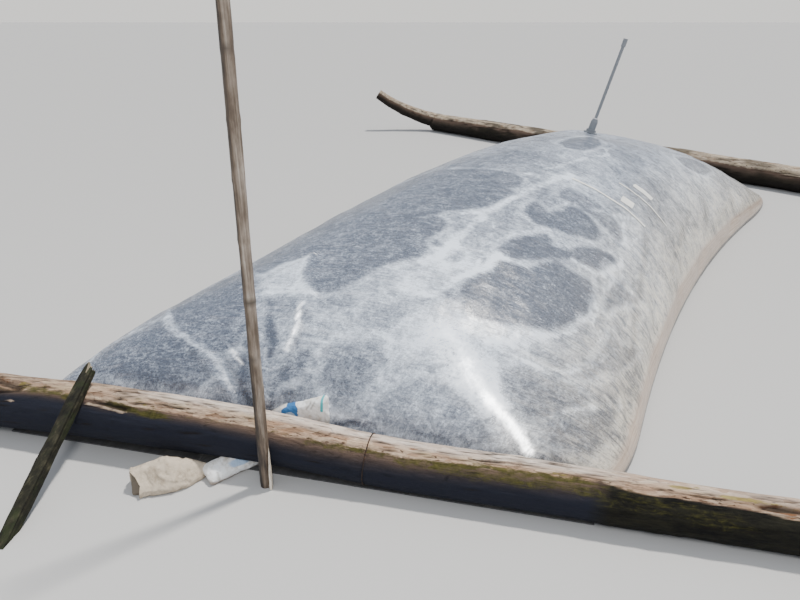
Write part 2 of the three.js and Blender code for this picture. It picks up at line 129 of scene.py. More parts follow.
def read(vertices, field):
    """A vector a row, one for each vertex."""
    values = np.empty(len(vertices) * 3)
    vertices.foreach_get(field, values)
    return values.reshape(-1, 3)


def places(piece):
    return read(piece.data.vertices, "co")


def move_to(piece, co):
    piece.data.vertices.foreach_set("co", co.ravel())
    piece.data.update()


def kept_above(co, floor=0.0):
    return np.maximum(co, (-np.inf, -np.inf, floor))


def pushed_out(piece, distances):
    """The piece's points moved along their normals."""
    return places(piece) + read(piece.data.vertices, "normal") * distances[:, None]


def add_grid(name, x_steps, y_steps):
    """A flat grid, and its points' places from -1 to 1 both ways."""
    bpy.ops.object.select_all(action="DESELECT")
    bpy.ops.mesh.primitive_grid_add(x_subdivisions=x_steps, y_subdivisions=y_steps, size=2)
    grid = named(name)
    return grid, places(grid)[:, :2]


def store(piece, name, values):
    layer = piece.data.attributes.new(name, "FLOAT", "POINT")
    layer.data.foreach_set("value", np.asarray(values, np.float32))


def smooth(piece, degrees):
    select_only(piece)
    bpy.ops.object.shade_smooth_by_angle(angle=math.radians(degrees))


def finish_piece(piece, slot, node, material=None):
    """Gives the piece its finish, lets it stand for its CAD node and sets it on the body."""
    move_to(piece, kept_above(places(piece)))
    piece.data.materials.clear()
    piece.data.materials.append(material or PAINTS[slot])
    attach(piece, "root")
    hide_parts(node)
    return piece


# Fields over many points

def rising(value, start, reach):
    """0 up to start, 1 from start + reach on."""
    return np.clip((value - start) / reach, 0, 1)


def falling(value, end, reach):
    """1 up to end - reach, 0 from end on."""
    return np.clip((end - value) / reach, 0, 1)


def bell(away, width, power=2):
    return np.exp(-(away / width) ** power)


def cloud(points, scale, seed, octaves=3):
    """Soft noise about -1 to 1 at many points; scale is bumps a metre, one number or one an axis."""
    shift = Vector([seed * step for step in CLOUD_STEPS])
    spread = Vector(scale) if hasattr(scale, "__len__") else Vector((scale,) * 3)
    return np.array([
        noise.fractal(Vector(p) * spread + shift, CLOUD_FALL, CLOUD_GROWTH, octaves) for p in points
    ])


def off_stops(points, stops):
    """Distance of each point from a line through stops."""
    best = np.full(len(points), 1e9)
    for a, b in zip(stops, stops[1:]):
        step = b - a
        t = np.clip((points - a) @ step / (step @ step), 0, 1)
        best = np.minimum(best, np.linalg.norm(points - a - t[:, None] * step, axis=1))
    return best


# Materials

class Value:
    """A socket of a material, with Python's operators adding Math nodes."""

    def __init__(self, paint, socket):
        self.paint = paint
        self.socket = socket

    def math(self, operation, *terms):
        return self.paint.node("ShaderNodeMath", {"operation": operation}, *terms)

    def __add__(self, other):
        return self.math("ADD", self, other)

    __radd__ = __add__

    def __sub__(self, other):
        return self.math("SUBTRACT", self, other)

    def __rsub__(self, other):
        return self.math("SUBTRACT", other, self)

    def __mul__(self, other):
        return self.math("MULTIPLY", self, other)

    __rmul__ = __mul__

    def __pow__(self, other):
        return self.math("POWER", self, other)

    def sine(self):
        return self.math("SINE", self)

    def at_most(self, other):
        return self.math("MINIMUM", self, other)

    def at_least(self, other):
        return self.math("MAXIMUM", self, other)

    def kept(self, high=1.0):
        """Kept between 0 and high."""
        return self.at_least(0.0).at_most(high)

    def between(self, low, high):
        """0 below low, 1 above high, eased between them."""
        return self.paint.node(
            "ShaderNodeMapRange", {"interpolation_type": "SMOOTHSTEP"},
            **{"Value": self, "From Min": low, "From Max": high},
        )

    def contours(self, width):
        """1 on the lines where a noise passes its middle, 0 from width on."""
        return self.math("ABSOLUTE", self - 0.5).between(width, 0.0)


class Paint:
    """A material under construction."""

    def __init__(self, name, turn=0.0):
        self.material = bpy.data.materials.new(name)
        self.material.use_nodes = True
        self.tree = self.material.node_tree
        self.tree.nodes.clear()
        self.output = self.tree.nodes.new("ShaderNodeOutputMaterial")
        place = self.node("ShaderNodeTexCoord", {}, output="Object")
        self.place = place if not turn else self.node(
            "ShaderNodeMapping", {}, **{"Vector": place, "Rotation": (0, 0, turn)})

    def node(self, kind, settings, *values, output=0, **sockets):
        made = self.tree.nodes.new(kind)
        for name, value in settings.items():
            if name == "stops":
                self.set_stops(made, value)
            else:
                setattr(made, name, value)
        for key, value in [*enumerate(values), *sockets.items()]:
            if isinstance(value, Value):
                self.tree.links.new(value.socket, made.inputs[key])
            else:
                made.inputs[key].default_value = value
        return Value(self, made.outputs[output])

    def set_stops(self, made, stops):
        elements = made.color_ramp.elements
        while len(elements) < len(stops):
            elements.new(0.5)
        for element, (position, colour) in zip(elements, stops):
            element.position = position
            element.color = (*colour, 1.0)

    def stretched(self, scale):
        return self.node("ShaderNodeMapping", {}, **{"Vector": self.place, "Scale": scale})

    def noise(self, scale, detail=3.0, roughness=0.55, stretch=None, distortion=0.0):
        place = self.stretched(stretch) if stretch else self.place
        return self.node(
            "ShaderNodeTexNoise", {},
            **{"Vector": place, "Scale": scale, "Detail": detail, "Roughness": roughness,
               "Distortion": distortion})

    def threads(self, run, scale, detail, distortion, turn=0.0):
        """Fine threads on a map in metres; scale is how many a metre each way, turn their slant."""
        place = self.node(
            "ShaderNodeMapping", {"vector_type": "TEXTURE"},
            **{"Vector": run, "Rotation": (0, 0, turn), "Scale": (1 / scale[0], 1 / scale[1], 1)})
        return self.node(
            "ShaderNodeTexNoise", {"noise_dimensions": "2D"},
            **{"Vector": place, "Scale": 1.0, "Detail": detail, "Roughness": 0.75,
               "Distortion": distortion})

    def cells(self, scale, stretch=None):
        """Distance from the middle of the nearest of many cells."""
        place = self.stretched(stretch) if stretch else self.place
        return self.node(
            "ShaderNodeTexVoronoi", {}, output="Distance", **{"Vector": place, "Scale": scale})

    def flakes(self, stretch, fray):
        """Cells that each have a tone of their own, with wandering edges."""
        place = self.node("ShaderNodeVectorMath", {"operation": "ADD"}, self.stretched(stretch), fray)
        return self.node("ShaderNodeTexVoronoi", {}, output="Color", **{"Vector": place, "Scale": 1.0})

    def ramp(self, value, *stops):
        return self.node("ShaderNodeValToRGB", {"stops": stops}, value)

    def mix(self, factor, low, high):
        mixed = self.tree.nodes.new("ShaderNodeMix")
        mixed.data_type = "RGBA"
        for key, value in ((0, factor), (6, low), (7, high)):
            if isinstance(value, Value):
                self.tree.links.new(value.socket, mixed.inputs[key])
            else:
                mixed.inputs[key].default_value = value if key == 0 else (*value, 1.0)
        return Value(self, mixed.outputs[2])

    def attribute(self, name):
        return self.node("ShaderNodeAttribute", {"attribute_name": name}, output="Fac")

    def bump(self, height, strength, distance):
        return self.node(
            "ShaderNodeBump", {}, **{"Height": height, "Strength": strength, "Distance": distance})

    def surface(self, **sockets):
        words = {name.replace("_", " "): value for name, value in sockets.items()}
        shader = self.node("ShaderNodeBsdfPrincipled", {}, output="BSDF", **words)
        self.tree.links.new(shader.socket, self.output.inputs["Surface"])
        return self.material


def scaled(colour, share):
    return tuple(share * c for c in colour)


def turn_of(ends):
    """A log's turn in plan from the X axis."""
    (ax, ay), (bx, by) = ends
    return math.atan2(by - ay, bx - ax)


def film_material():
    """Clear film with milky condensation, open windows and veins, painted shade in its creases and along its
    floor line, and a painted glare that glows.
    """
    slate, milk_white = (0.122, 0.148, 0.205), (0.81, 0.89, 1.0)
    cream_tone, streak_tone = (0.80, 0.73, 0.60), (0.14, 0.135, 0.125)
    hem_brown, hem_pale = (0.31, 0.225, 0.165), (0.60, 0.485, 0.395)
    floor_shade_black, sun_white, unlit = (0.030, 0.029, 0.028), (1.0, 0.98, 0.94), (0.0, 0.0, 0.0)
    paint = Paint("clear film")
    run = paint.node("ShaderNodeUVMap", {"uv_map": "film"})
    wisps = paint.noise(2.8, 9, 0.66, distortion=1.0) - 0.5
    mottle = paint.noise(13, 7, 0.72, distortion=0.8) - 0.5
    grit = paint.noise(60, 5, 0.8) - 0.5
    hairs = paint.threads(run, (66, 10), 5, 2.0) - 0.5
    slant = paint.threads(run, (44, 20), 5, 2.5, 0.7) - 0.5
    long_hairs = paint.threads(run, (46, 3.2), 6, 1.2) - 0.5
    strands = paint.threads(run, (26, 4.5), 5, 1.6, -0.25).contours(0.028)
    curls = paint.noise(6, 5, 0.62, distortion=2.2).contours(0.020)
    felt = paint.noise(24, 5, 0.64, distortion=2.0).contours(0.036)
    depth = paint.attribute("clear") + wisps * 0.07 + long_hairs * 0.06 + mottle * 0.04
    open_film = depth.between(-0.035, 0.030) * paint.attribute("openness")
    rim = depth.between(-0.065, -0.015) * depth.between(0.016, -0.012)
    veins = (paint.attribute("vein") + wisps * 0.4 + mottle * 0.4 + long_hairs * 0.4).between(0.40, 1.0)
    milky = paint.attribute("veil") + wisps * 0.9 + mottle * 1.1 + long_hairs * 0.5 + slant * 0.7
    milky = milky + curls * 0.16 + felt * 0.15 + strands * 0.12 + grit * 0.6 + hairs * 0.6
    clear = mottle * 0.8 + hairs * 1.5 + grit * 0.8 + slant * 0.9
    clear = clear + felt * 0.20 + strands * 0.24 + curls * 0.18 + 0.02
    milk = milky * (1 - open_film) + clear * open_film
    milk = milk + rim * 0.20 + veins * 0.30 + paint.attribute("glare") * 0.4
    # Painted shade darkens the film in its creases
    milk = (milk - paint.attribute("crease") * 0.55).kept()
    colour = paint.mix(milk ** 1.5, slate, milk_white)
    cream = paint.attribute("cream") * (1 - open_film * 0.6)
    cream = cream * (long_hairs * 2.0 + mottle * 2.2 + wisps * 1.2 + 0.80)
    colour = paint.mix(cream.kept(0.85), colour, cream_tone)
    streaks = (long_hairs + hairs * 0.6 + wisps * 0.7).between(0.04, -0.14) * paint.attribute("cream")
    colour = paint.mix(streaks * 0.62, colour, streak_tone)
    hem = (paint.attribute("hem") + long_hairs * 0.6).kept()
    hem_lines = paint.threads(run, (3.0, 70), 4, 0.8)
    colour = paint.mix(hem * 0.9, colour, paint.mix((hem_lines - 0.3) * 2.0, hem_brown, hem_pale))
    # Painted shade along the film's floor line
    colour = paint.mix(paint.attribute("wet").between(0.1, 0.6), colour, floor_shade_black)
    alpha = milk * 0.50 + 0.45 + paint.attribute("far_side") * 0.12 + hem * 0.5
    ripple = paint.noise(9, 3, 0.5)
    # Painted highlight: the glare and glints glow, mottled by the film's noise
    glare = paint.attribute("glare") * (wisps * 0.9 + mottle * 1.6 + grit * 1.1 + slant * 1.2 + 1.0)
    return paint.surface(
        Base_Color=colour, Alpha=alpha.at_most(0.97), Roughness=0.24, IOR=1.5,
        Emission_Color=paint.mix((glare ** 2.0).at_most(1), unlit, sun_white),
        Emission_Strength=GLARE_LIGHT,
        Normal=paint.bump(ripple + hairs * 0.12 + grit * 0.06, 0.35, 0.012))


def flat_film_material():
    # Painted shade: the flattened tails under the logs take dark tones that stand for the deep shade there
    shaded, dust_and_shade_tone = (0.020, 0.021, 0.024), (0.11, 0.11, 0.115)
    paint = Paint("soiled flattened film")
    mottling = paint.noise(9, 5, 0.65, stretch=(1.0, 0.4, 1.0), distortion=0.8)
    return paint.surface(
        Base_Color=paint.mix((mottling - 0.30) * 1.8, shaded, dust_and_shade_tone), Alpha=(mottling * 0.5 + 0.60).at_most(0.95),
        Roughness=0.45, Normal=paint.bump(mottling, 0.4, 0.01))


def crust_material():
    paint = Paint("dry crust")
    clumps = paint.noise(14, 5, 0.7)
    grains = paint.cells(60)
    specks = paint.noise(110, 3, 0.7)
    colour = paint.ramp(
        clumps * 0.30 + grains * 0.50 + specks * 0.75,
        (0.46, (0.018, 0.018, 0.018)), (0.62, (0.085, 0.083, 0.080)),
        (0.76, (0.26, 0.25, 0.235)), (0.88, (0.62, 0.60, 0.56)))
    return paint.surface(
        Base_Color=colour, Roughness=0.95, Normal=paint.bump(grains + specks, 0.8, 0.02))


# Tones that both logs share
RED_BROWN, STRAW, WORN_BROWN = (0.32, 0.18, 0.095), (0.60, 0.47, 0.30), (0.15, 0.090, 0.048)
CHIP_BROWN, DASH_BROWN, PAINTED_SUNLIGHT = (0.085, 0.040, 0.024), (0.050, 0.026, 0.016), (0.88, 0.81, 0.74)
WARM_SHADE, WARM_SHADE_PALE = (0.090, 0.058, 0.043), (0.20, 0.135, 0.098)
BARK_BLACK, BARK_OLIVE = (0.002, 0.002, 0.002), (0.028, 0.026, 0.014)
MOSS_DARK, MOSS_BRIGHT = (0.014, 0.016, 0.003), (0.125, 0.112, 0.022)
LICHEN_DARK, LICHEN_YELLOW = (0.15, 0.11, 0.02), (0.42, 0.35, 0.10)
RUST_BROWN, CRACK_SHADE_BLACK = (0.20, 0.085, 0.035), (0.014, 0.010, 0.008)


def log_material(name, ends, lit, pale, side, under):
    """Weathered wood with painted light and shade: lit and pale on top, painted brown shade past the edge of
    the light and painted dark shade beneath.
    """
    paint = Paint(name, -turn_of(ends))
    grain = paint.noise(3.0, 7, 0.72, stretch=(1.0, 18.0, 18.0))
    fine = paint.noise(10.0, 5, 0.75, stretch=(1.0, 26.0, 26.0))
    blotch = paint.noise(3.4, 5, 0.65, stretch=(1.0, 2.6, 2.6))
    rough = paint.noise(34, 5, 0.75, stretch=(0.6, 1.6, 1.6), distortion=0.8)
    golden = paint.noise(5.5, 4, 0.62, stretch=(1.0, 2.2, 2.2), distortion=0.6)
    dashes = paint.noise(1.0, 3, 0.6, stretch=(26, 90, 90), distortion=0.6)
    flakes = paint.flakes((13, 55, 55), paint.noise(12, 3, 0.6) * 1.6)
    chips = (rough + flakes * 0.30).between(0.52, 0.42) * blotch.between(0.40, 0.56)
    wood = lit_wood(paint, grain, fine, blotch, rough, golden, dashes, flakes, chips, lit, pale, side)
    # Painted shade past the edge of the light: warmer brown near it, dark beneath
    shaded_wood = paint.mix((rough - 0.3) * 1.3, scaled(side, 0.55), scaled(side, 1.5))
    warmer = paint.mix((fine - 0.3) * 2.0, WARM_SHADE, WARM_SHADE_PALE)
    warm = (paint.attribute("shade") + (blotch - 0.5) * 0.5 + (rough - 0.5) * 0.3).between(0.62, 0.0)
    shaded_wood = paint.mix(warm, shaded_wood, warmer)
    deep = (paint.attribute("shade") + (blotch - 0.5) * 0.4 + (fine - 0.5) * 0.3).between(0.15, 0.90)
    edge = (blotch - 0.5) * 0.30 + (rough - 0.5) * 0.35
    shade = (paint.attribute("shade") + edge).between(-0.05, 0.07)
    wood = paint.mix(shade, wood, paint.mix(deep, shaded_wood, under))
    wood = overgrown_wood(paint, wood, fine, rough, pale)
    rings = (paint.attribute("radial") * 75 + blotch * 8).sine()
    sawn = paint.mix(rings * 0.35 + 0.5, side, scaled(lit, 0.8))
    wood = paint.mix(paint.attribute("radial").between(0.99, 0.90), wood, sawn)
    # Cracks and hollows painted near black: dark wood with painted shade in these recesses
    wood = paint.mix((paint.attribute("crack") * 0.95).at_most(1), wood, CRACK_SHADE_BLACK)
    relief = grain + fine * 0.5 + rough * 0.8 - chips * 0.6
    return paint.surface(
        Base_Color=wood, Roughness=0.88, Specular_IOR_Level=0.2, Normal=paint.bump(relief, 0.9, 0.010))


def lit_wood(paint, grain, fine, blotch, rough, golden, dashes, flakes, chips, lit, pale, side):
    """The log's top: pale flakes, golden and worn patches, grain, chips and painted sunlight on the crest."""
    worn = paint.attribute("worn") + (blotch - 0.5) * 0.8 + (golden - 0.5) * 0.6
    wood = paint.mix((flakes * 0.7 + blotch - 0.35).between(0.15, 0.85), lit, pale)
    wood = paint.mix(golden.between(0.54, 0.68) * 0.6, wood, RED_BROWN)
    wood = paint.mix(golden.between(0.45, 0.34) * 0.6, wood, STRAW)
    wood = paint.mix(worn.between(0.25, 0.85) * 0.85, wood, WORN_BROWN)
    wood = paint.mix((fine - 0.44) * 3.0, wood, scaled(lit, 0.42))
    wood = paint.mix((grain + rough * 0.5 - 0.70) * 2.6, wood, side)
    wood = paint.mix(chips * 0.7, wood, CHIP_BROWN)
    wood = paint.mix(dashes.between(0.60, 0.66) * 0.9, wood, DASH_BROWN)
    # Painted sunlight lightens the crest
    return paint.mix(paint.attribute("sunlit") * (flakes * 0.36 + 0.26), wood, PAINTED_SUNLIGHT)


def overgrown_wood(paint, wood, fine, rough, pale):
    """Bark, moss, lichen, rust-brown wood and torn wood, each where its attribute says."""
    bark_tone = (paint.noise(16, 6, 0.78, stretch=(0.5, 1.8, 1.8)) - 0.38) * 2.2
    wood = paint.mix(paint.attribute("bark"), wood, paint.mix(bark_tone, BARK_BLACK, BARK_OLIVE))
    greens = paint.mix((paint.noise(42, 4, 0.7) - 0.25) * 1.5, MOSS_DARK, MOSS_BRIGHT)
    moss = (paint.attribute("moss") + (rough - 0.5) * 1.7 + (fine - 0.5) * 0.8).between(0.32, 0.98)
    wood = paint.mix(moss * 0.9, wood, greens)
    lichen = (paint.attribute("lichen") + (rough - 0.5) * 1.6).between(0.50, 0.85)
    wood = paint.mix(lichen * 0.8, wood, paint.mix((rough - 0.3) * 2.0, LICHEN_DARK, LICHEN_YELLOW))
    rust = (paint.attribute("rust") + (rough - 0.5) * 1.6).between(0.40, 0.75)
    wood = paint.mix(rust * 0.9, wood, RUST_BROWN)
    torn = (paint.attribute("tear") + (rough - 0.5) * 1.2).between(0.45, 0.95)
    return paint.mix(torn * 0.8, wood, scaled(pale, 0.85))


def bamboo_material():
    knot_brown = (0.050, 0.036, 0.025)
    paint = Paint("old bamboo")
    fibres = paint.noise(5, 6, 0.7, stretch=(18, 18, 0.6))
    blotch = paint.noise(8, 5, 0.65, stretch=(2.4, 2.4, 0.7))
    wood = paint.ramp(
        # Painted shade darkens the pole's side away from the sun
        fibres * 0.60 + blotch * 0.65 - paint.attribute("dark_side") * 0.22,
        (0.38, (0.020, 0.013, 0.009)), (0.54, (0.115, 0.082, 0.056)),
        (0.68, (0.26, 0.21, 0.165)), (0.84, (0.48, 0.43, 0.37)))
    wood = paint.mix(paint.attribute("knot") * 0.85, wood, knot_brown)
    return paint.surface(Base_Color=wood, Roughness=0.55, Normal=paint.bump(fibres, 0.35, 0.004))


def split_wood_material():
    paint = Paint("split wood")
    fibres = paint.noise(6, 5, 0.7, stretch=(30, 30, 1.2))
    wood = paint.ramp(
        fibres, (0.36, (0.20, 0.13, 0.08)), (0.50, (0.62, 0.55, 0.44)), (0.70, (0.86, 0.83, 0.76)))
    return paint.surface(Base_Color=wood, Roughness=0.7, Normal=paint.bump(fibres, 0.5, 0.003))


def dark_timber_material():
    moss_green, fresh_wood, split_shade_black = (0.022, 0.030, 0.010), (0.50, 0.42, 0.30), (0.012, 0.010, 0.008)
    paint = Paint("mossy timber")
    grain = paint.noise(5, 6, 0.72, stretch=(6, 2.4, 5))
    wood = paint.ramp(
        grain, (0.36, (0.004, 0.004, 0.003)), (0.54, (0.018, 0.017, 0.010)), (0.68, (0.055, 0.050, 0.030)),
        (0.82, (0.16, 0.135, 0.095)))
    wood = paint.mix(paint.noise(11, 4, 0.65).between(0.48, 0.66) * 0.6, wood, moss_green)
    wood = paint.mix(paint.attribute("fresh") * 0.8, wood, fresh_wood)
    # Grooves painted dark: painted shade in these recesses
    wood = paint.mix(paint.attribute("crack") * 0.8, wood, split_shade_black)
    return paint.surface(
        Base_Color=wood, Roughness=0.9, Specular_IOR_Level=0.25, Normal=paint.bump(grain, 0.9, 0.008))


# Marks on the sacks: attribute, where it starts and is full, strength and colour
SACK_MARKS = (
    ("pale", 0.40, 0.75, 1.0, (0.36, 0.47, 0.62)), ("blue", 0.45, 0.6, 1.0, (0.045, 0.17, 0.40)),
    ("teal", 0.45, 0.6, 1.0, (0.07, 0.42, 0.46)), ("rust", 0.40, 0.9, 0.8, (0.19, 0.135, 0.095)),
)


def sack_material(name, cloth, dirt):
    paint = Paint(name)
    weave = paint.cells(420, stretch=(1, 1, 1.3))
    grime = paint.noise(11, 6, 0.7)
    mottling = paint.noise(40, 4, 0.7)
    colour = paint.mix((grime + (mottling - 0.5) * 0.6).between(0.38, 0.78), cloth, dirt)
    wavy = (paint.noise(30, 3, 0.6) - 0.5) * 0.5
    for mark, start, full, strength, tone in SACK_MARKS:
        colour = paint.mix((paint.attribute(mark) + wavy).between(start, full) * strength, colour, tone)
    # Painted shade in the sacks' hollows beside their folds, and the pad's dark smudges
    colour = paint.mix(paint.attribute("fold") * 0.85, colour, scaled(dirt, 0.30))
    folds = paint.noise(15, 4, 0.6, stretch=(1, 1.8, 1), distortion=1.8)
    return paint.surface(
        Base_Color=colour, Roughness=0.78, Specular_IOR_Level=0.3,
        Normal=paint.bump(folds + weave * 0.04, 0.5, 0.012))


def plastic_material(name, base, rough):
    paint = Paint(name)
    dust = paint.noise(30, 4, 0.6)
    dust_and_shade_tone = tuple(0.6 * c + 0.12 for c in base)
    colour = paint.mix(dust.between(0.45, 0.75) * 0.5, base, dust_and_shade_tone)
    return paint.surface(Base_Color=colour, Roughness=dust * 0.2 + rough)


def wire_material():
    black_iron, rust = (0.014, 0.011, 0.010), (0.060, 0.028, 0.014)
    paint = Paint("rusty wire")
    colour = paint.mix(paint.noise(90, 3, 0.6).between(0.4, 0.6), black_iron, rust)
    return paint.surface(Base_Color=colour, Roughness=0.75, Metallic=0.4)


# Stage, camera and light

FLOOR_SIZE, FLOOR_TONE = 600, (0.46, 0.455, 0.445, 1)
SIGHT_REACH = 200
SUN_FROM, SUN_COLOUR, SUN_LIGHT = Vector((0.156, 0.358, 0.920)), (1.0, 0.965, 0.91), 4.3
SUN_SOFTNESS = math.radians(4)
SOFT_FROM, SOFT_AIM, SOFT_DISTANCE = Vector((0.42, -0.50, 0.76)), Vector((0.5, -2.8, 0.4)), 7.5
SOFT_SIZE, SOFT_LIGHT = (1.6, 2.6), 260
SKY_LIGHT = 0.78
# The sky by height above the horizon
SKY = ((0.03, (1.35, 1.33, 1.28, 1)), (0.12, (0.84, 0.90, 1.0, 1)))


def lay_floor():
    bpy.ops.mesh.primitive_plane_add(size=FLOOR_SIZE)
    floor = named("floor")
    floor.data.materials.append(Paint("pale floor").surface(Base_Color=FLOOR_TONE, Roughness=0.9))


def place_camera():
    look = EYE_FORWARD * math.cos(EYE_TILT) - Vector((0, 0, 1)) * math.sin(EYE_TILT)
    bpy.ops.object.camera_add(location=EYE, rotation=look.to_track_quat("-Z", "Y").to_euler())
    camera = bpy.context.object
    camera.data.sensor_width = SENSOR_WIDTH
    camera.data.lens = FOCAL_PIXELS / IMAGE_WIDTH * SENSOR_WIDTH
    camera.data.clip_end = SIGHT_REACH
    bpy.context.scene.camera = camera


def add_sun():
    bpy.ops.object.light_add(type="SUN", rotation=SUN_FROM.to_track_quat("Z", "Y").to_euler())
    sun = bpy.context.object
    sun.data.energy = SUN_LIGHT
    sun.data.angle = SUN_SOFTNESS
    sun.data.color = SUN_COLOUR


def add_soft_light():
    bpy.ops.object.light_add(
        type="AREA", location=SOFT_AIM + SOFT_FROM * SOFT_DISTANCE,
        rotation=SOFT_FROM.to_track_quat("Z", "Y").to_euler())
    soft = bpy.context.object
    soft.data.shape = "RECTANGLE"
    soft.data.size, soft.data.size_y = SOFT_SIZE
    soft.data.energy = SOFT_LIGHT


def add_sky():
    world = bpy.data.worlds.new("studio")
    bpy.context.scene.world = world
    world.use_nodes = True
    tree = world.node_tree
    background = tree.nodes["Background"]
    background.inputs["Strength"].default_value = SKY_LIGHT
    direction = tree.nodes.new("ShaderNodeSeparateXYZ")
    tree.links.new(tree.nodes.new("ShaderNodeTexCoord").outputs["Generated"], direction.inputs[0])
    sky = tree.nodes.new("ShaderNodeValToRGB")
    for element, (height, colour) in zip(sky.color_ramp.elements, SKY):
        element.position = height
        element.color = colour
    tree.links.new(direction.outputs["Z"], sky.inputs[0])
    tree.links.new(sky.outputs[0], background.inputs["Color"])


# The gas bag

def through_middle(values, share):
    """The curve through a value at the near end, the middle and the far end."""
    near, middle, far = values
    return (near * (1 - share) * (1 - 2 * share) + 4 * middle * share * (1 - share)
            + far * share * (2 * share - 1))


def rounded_end(share, reach, power):
    inside = np.maximum(0, 1 - share / reach)
    return (1 - inside ** power) ** (1 / power)


def plain_bag_point(share, degrees):
    """Outside of the bag before the riser tips it, from shares of its length and angles over the crown."""
    share = np.clip(np.asarray(share, float), 0, 1)
    angle = np.radians(np.asarray(degrees, float))
    rise = rounded_end(share, NEAR_ROUNDING, NEAR_POWER)
    fall = rounded_end(1 - share, FAR_ROUNDING, FAR_POWER)
    narrowing = (FAR_WIDTH_SHARE + (1 - FAR_WIDTH_SHARE) * fall) * (
        NEAR_WIDTH_SHARE + (1 - NEAR_WIDTH_SHARE) * rise)
    fullness = np.where(angle < math.pi / 2, RIGHT_FULLNESS, LEFT_FULLNESS)
    x = np.cos(angle) * through_middle(HALF_WIDTHS, share) * narrowing
    y = x * NEAR_SKEW * (1 - share) + BAG_LENGTH * (share - 0.5)
    crown = through_middle(CROWN_HEIGHTS, share) * rise * fall
    z = BAG_BASE + crown * np.maximum(np.sin(angle), 0) ** fullness
    return np.stack([x, y, z], -1)


OUTLET_SHARE, OUTLET_ANGLE = 0.655, 88.6
OUTLET_LEAN, LEAN_REACH = 0.225, 0.26
OUTLET_PLACE = plain_bag_point([OUTLET_SHARE], [OUTLET_ANGLE])[0]


def bag_point(share, degrees):
    """Outside of the bag, tipped round the outlet as the riser tips it."""
    skin = plain_bag_point(share, degrees)
    aside = skin[..., 0] - OUTLET_PLACE[0]
    away = np.hypot(aside, skin[..., 1] - OUTLET_PLACE[1]) / LEAN_REACH
    skin[..., 2] -= np.minimum(OUTLET_LEAN * aside * np.exp(-away ** 2), skin[..., 2] - BAG_BASE)
    return skin


def bag_normal(share, degrees):
    along, over = 0.002, 0.5
    forward = bag_point(share + along, degrees) - bag_point(share - along, degrees)
    across = (bag_point(share, np.clip(degrees + over, 0, 180))
              - bag_point(share, np.clip(degrees - over, 0, 180)))
    normal = np.cross(across, forward)
    normal /= np.maximum(np.linalg.norm(normal, axis=1), 1e-9)[:, None]
    normal[normal[:, 2] < 0] *= -1
    return normal


class FilmInPhoto:
    """The film as the photo shows it, which turns a pixel's column and row into a place on the film."""

    share_steps, degree_steps = 1201, 721
    # Squared pixels within which the film is hit, and metres behind the nearest hit that count with it
    hit, thickness = 6, 0.25

    def __init__(self):
        shares = np.linspace(0, 1, self.share_steps)
        degrees = np.linspace(0, 180, self.degree_steps)
        self.share, self.degrees = (grid.ravel() for grid in np.meshgrid(shares, degrees, indexing="ij"))
        away = bag_point(self.share, self.degrees) - np.array(EYE)
        cos, sin = math.cos(EYE_TILT), math.sin(EYE_TILT)
        level = away @ np.array(EYE_FORWARD)
        self.depth = level * cos - away[:, 2] * sin
        lens = FOCAL_PIXELS / self.depth
        self.column = IMAGE_WIDTH / 2 + away @ np.array(EYE_RIGHT) * lens
        self.row = IMAGE_HEIGHT / 2 - (level * sin + away[:, 2] * cos) * lens

    def place(self, column, row):
        off = (self.column - column) ** 2 + (self.row - row) ** 2
        hits = np.flatnonzero(off < self.hit)
        if len(hits):
            hits = hits[self.depth[hits] < self.depth[hits].min() + self.thickness]
            best = hits[off[hits].argmin()]
        else:
            best = off.argmin()
        return round(float(self.share[best]), 3), round(float(self.degrees[best]))


def on_film(pairs):
    """Film places of some pairs: a pair above 1 is a pixel of the photo, column and row."""
    return [pair if pair[0] <= 1 else FILM_IN_PHOTO.place(*pair) for pair in pairs]


FILM_IN_PHOTO = FilmInPhoto()

# Lines and outlines on the film. A pair is a film place, as share of the length and angle over the
# crown, or a given pixel of the photo, as column and row.

# Milky streaks: places, half width in metres and strength
HAZES = (
    (((0.120, 81), (0.158, 78), (0.225, 78), (0.287, 76), (0.362, 69)), 0.11, 0.45),
    (((0.143, 76), (0.100, 77), (0.062, 80), (0.040, 84)), 0.10, 0.40),
    (((0.086, 76), (0.107, 72), (0.159, 68)), 0.08, 0.40),
    (((0.030, 80), (0.050, 72), (0.043, 63), (0.034, 56)), 0.12, 0.45),
    (((0.051, 68), (0.058, 56), (0.088, 48)), 0.08, 0.45),
    (((0.298, 38), (0.279, 24), (0.181, 25)), 0.20, 0.30),
    (((0.039, 93), (0.051, 88), (0.072, 84), (0.120, 77)), 0.07, 0.45),
    (((0.362, 69), (0.45, 60), (0.55, 55), (0.70, 60)), 0.22, 0.20),
    (((0.58, 92), (0.66, 88), (0.78, 75), (0.86, 60)), 0.25, 0.20),
)
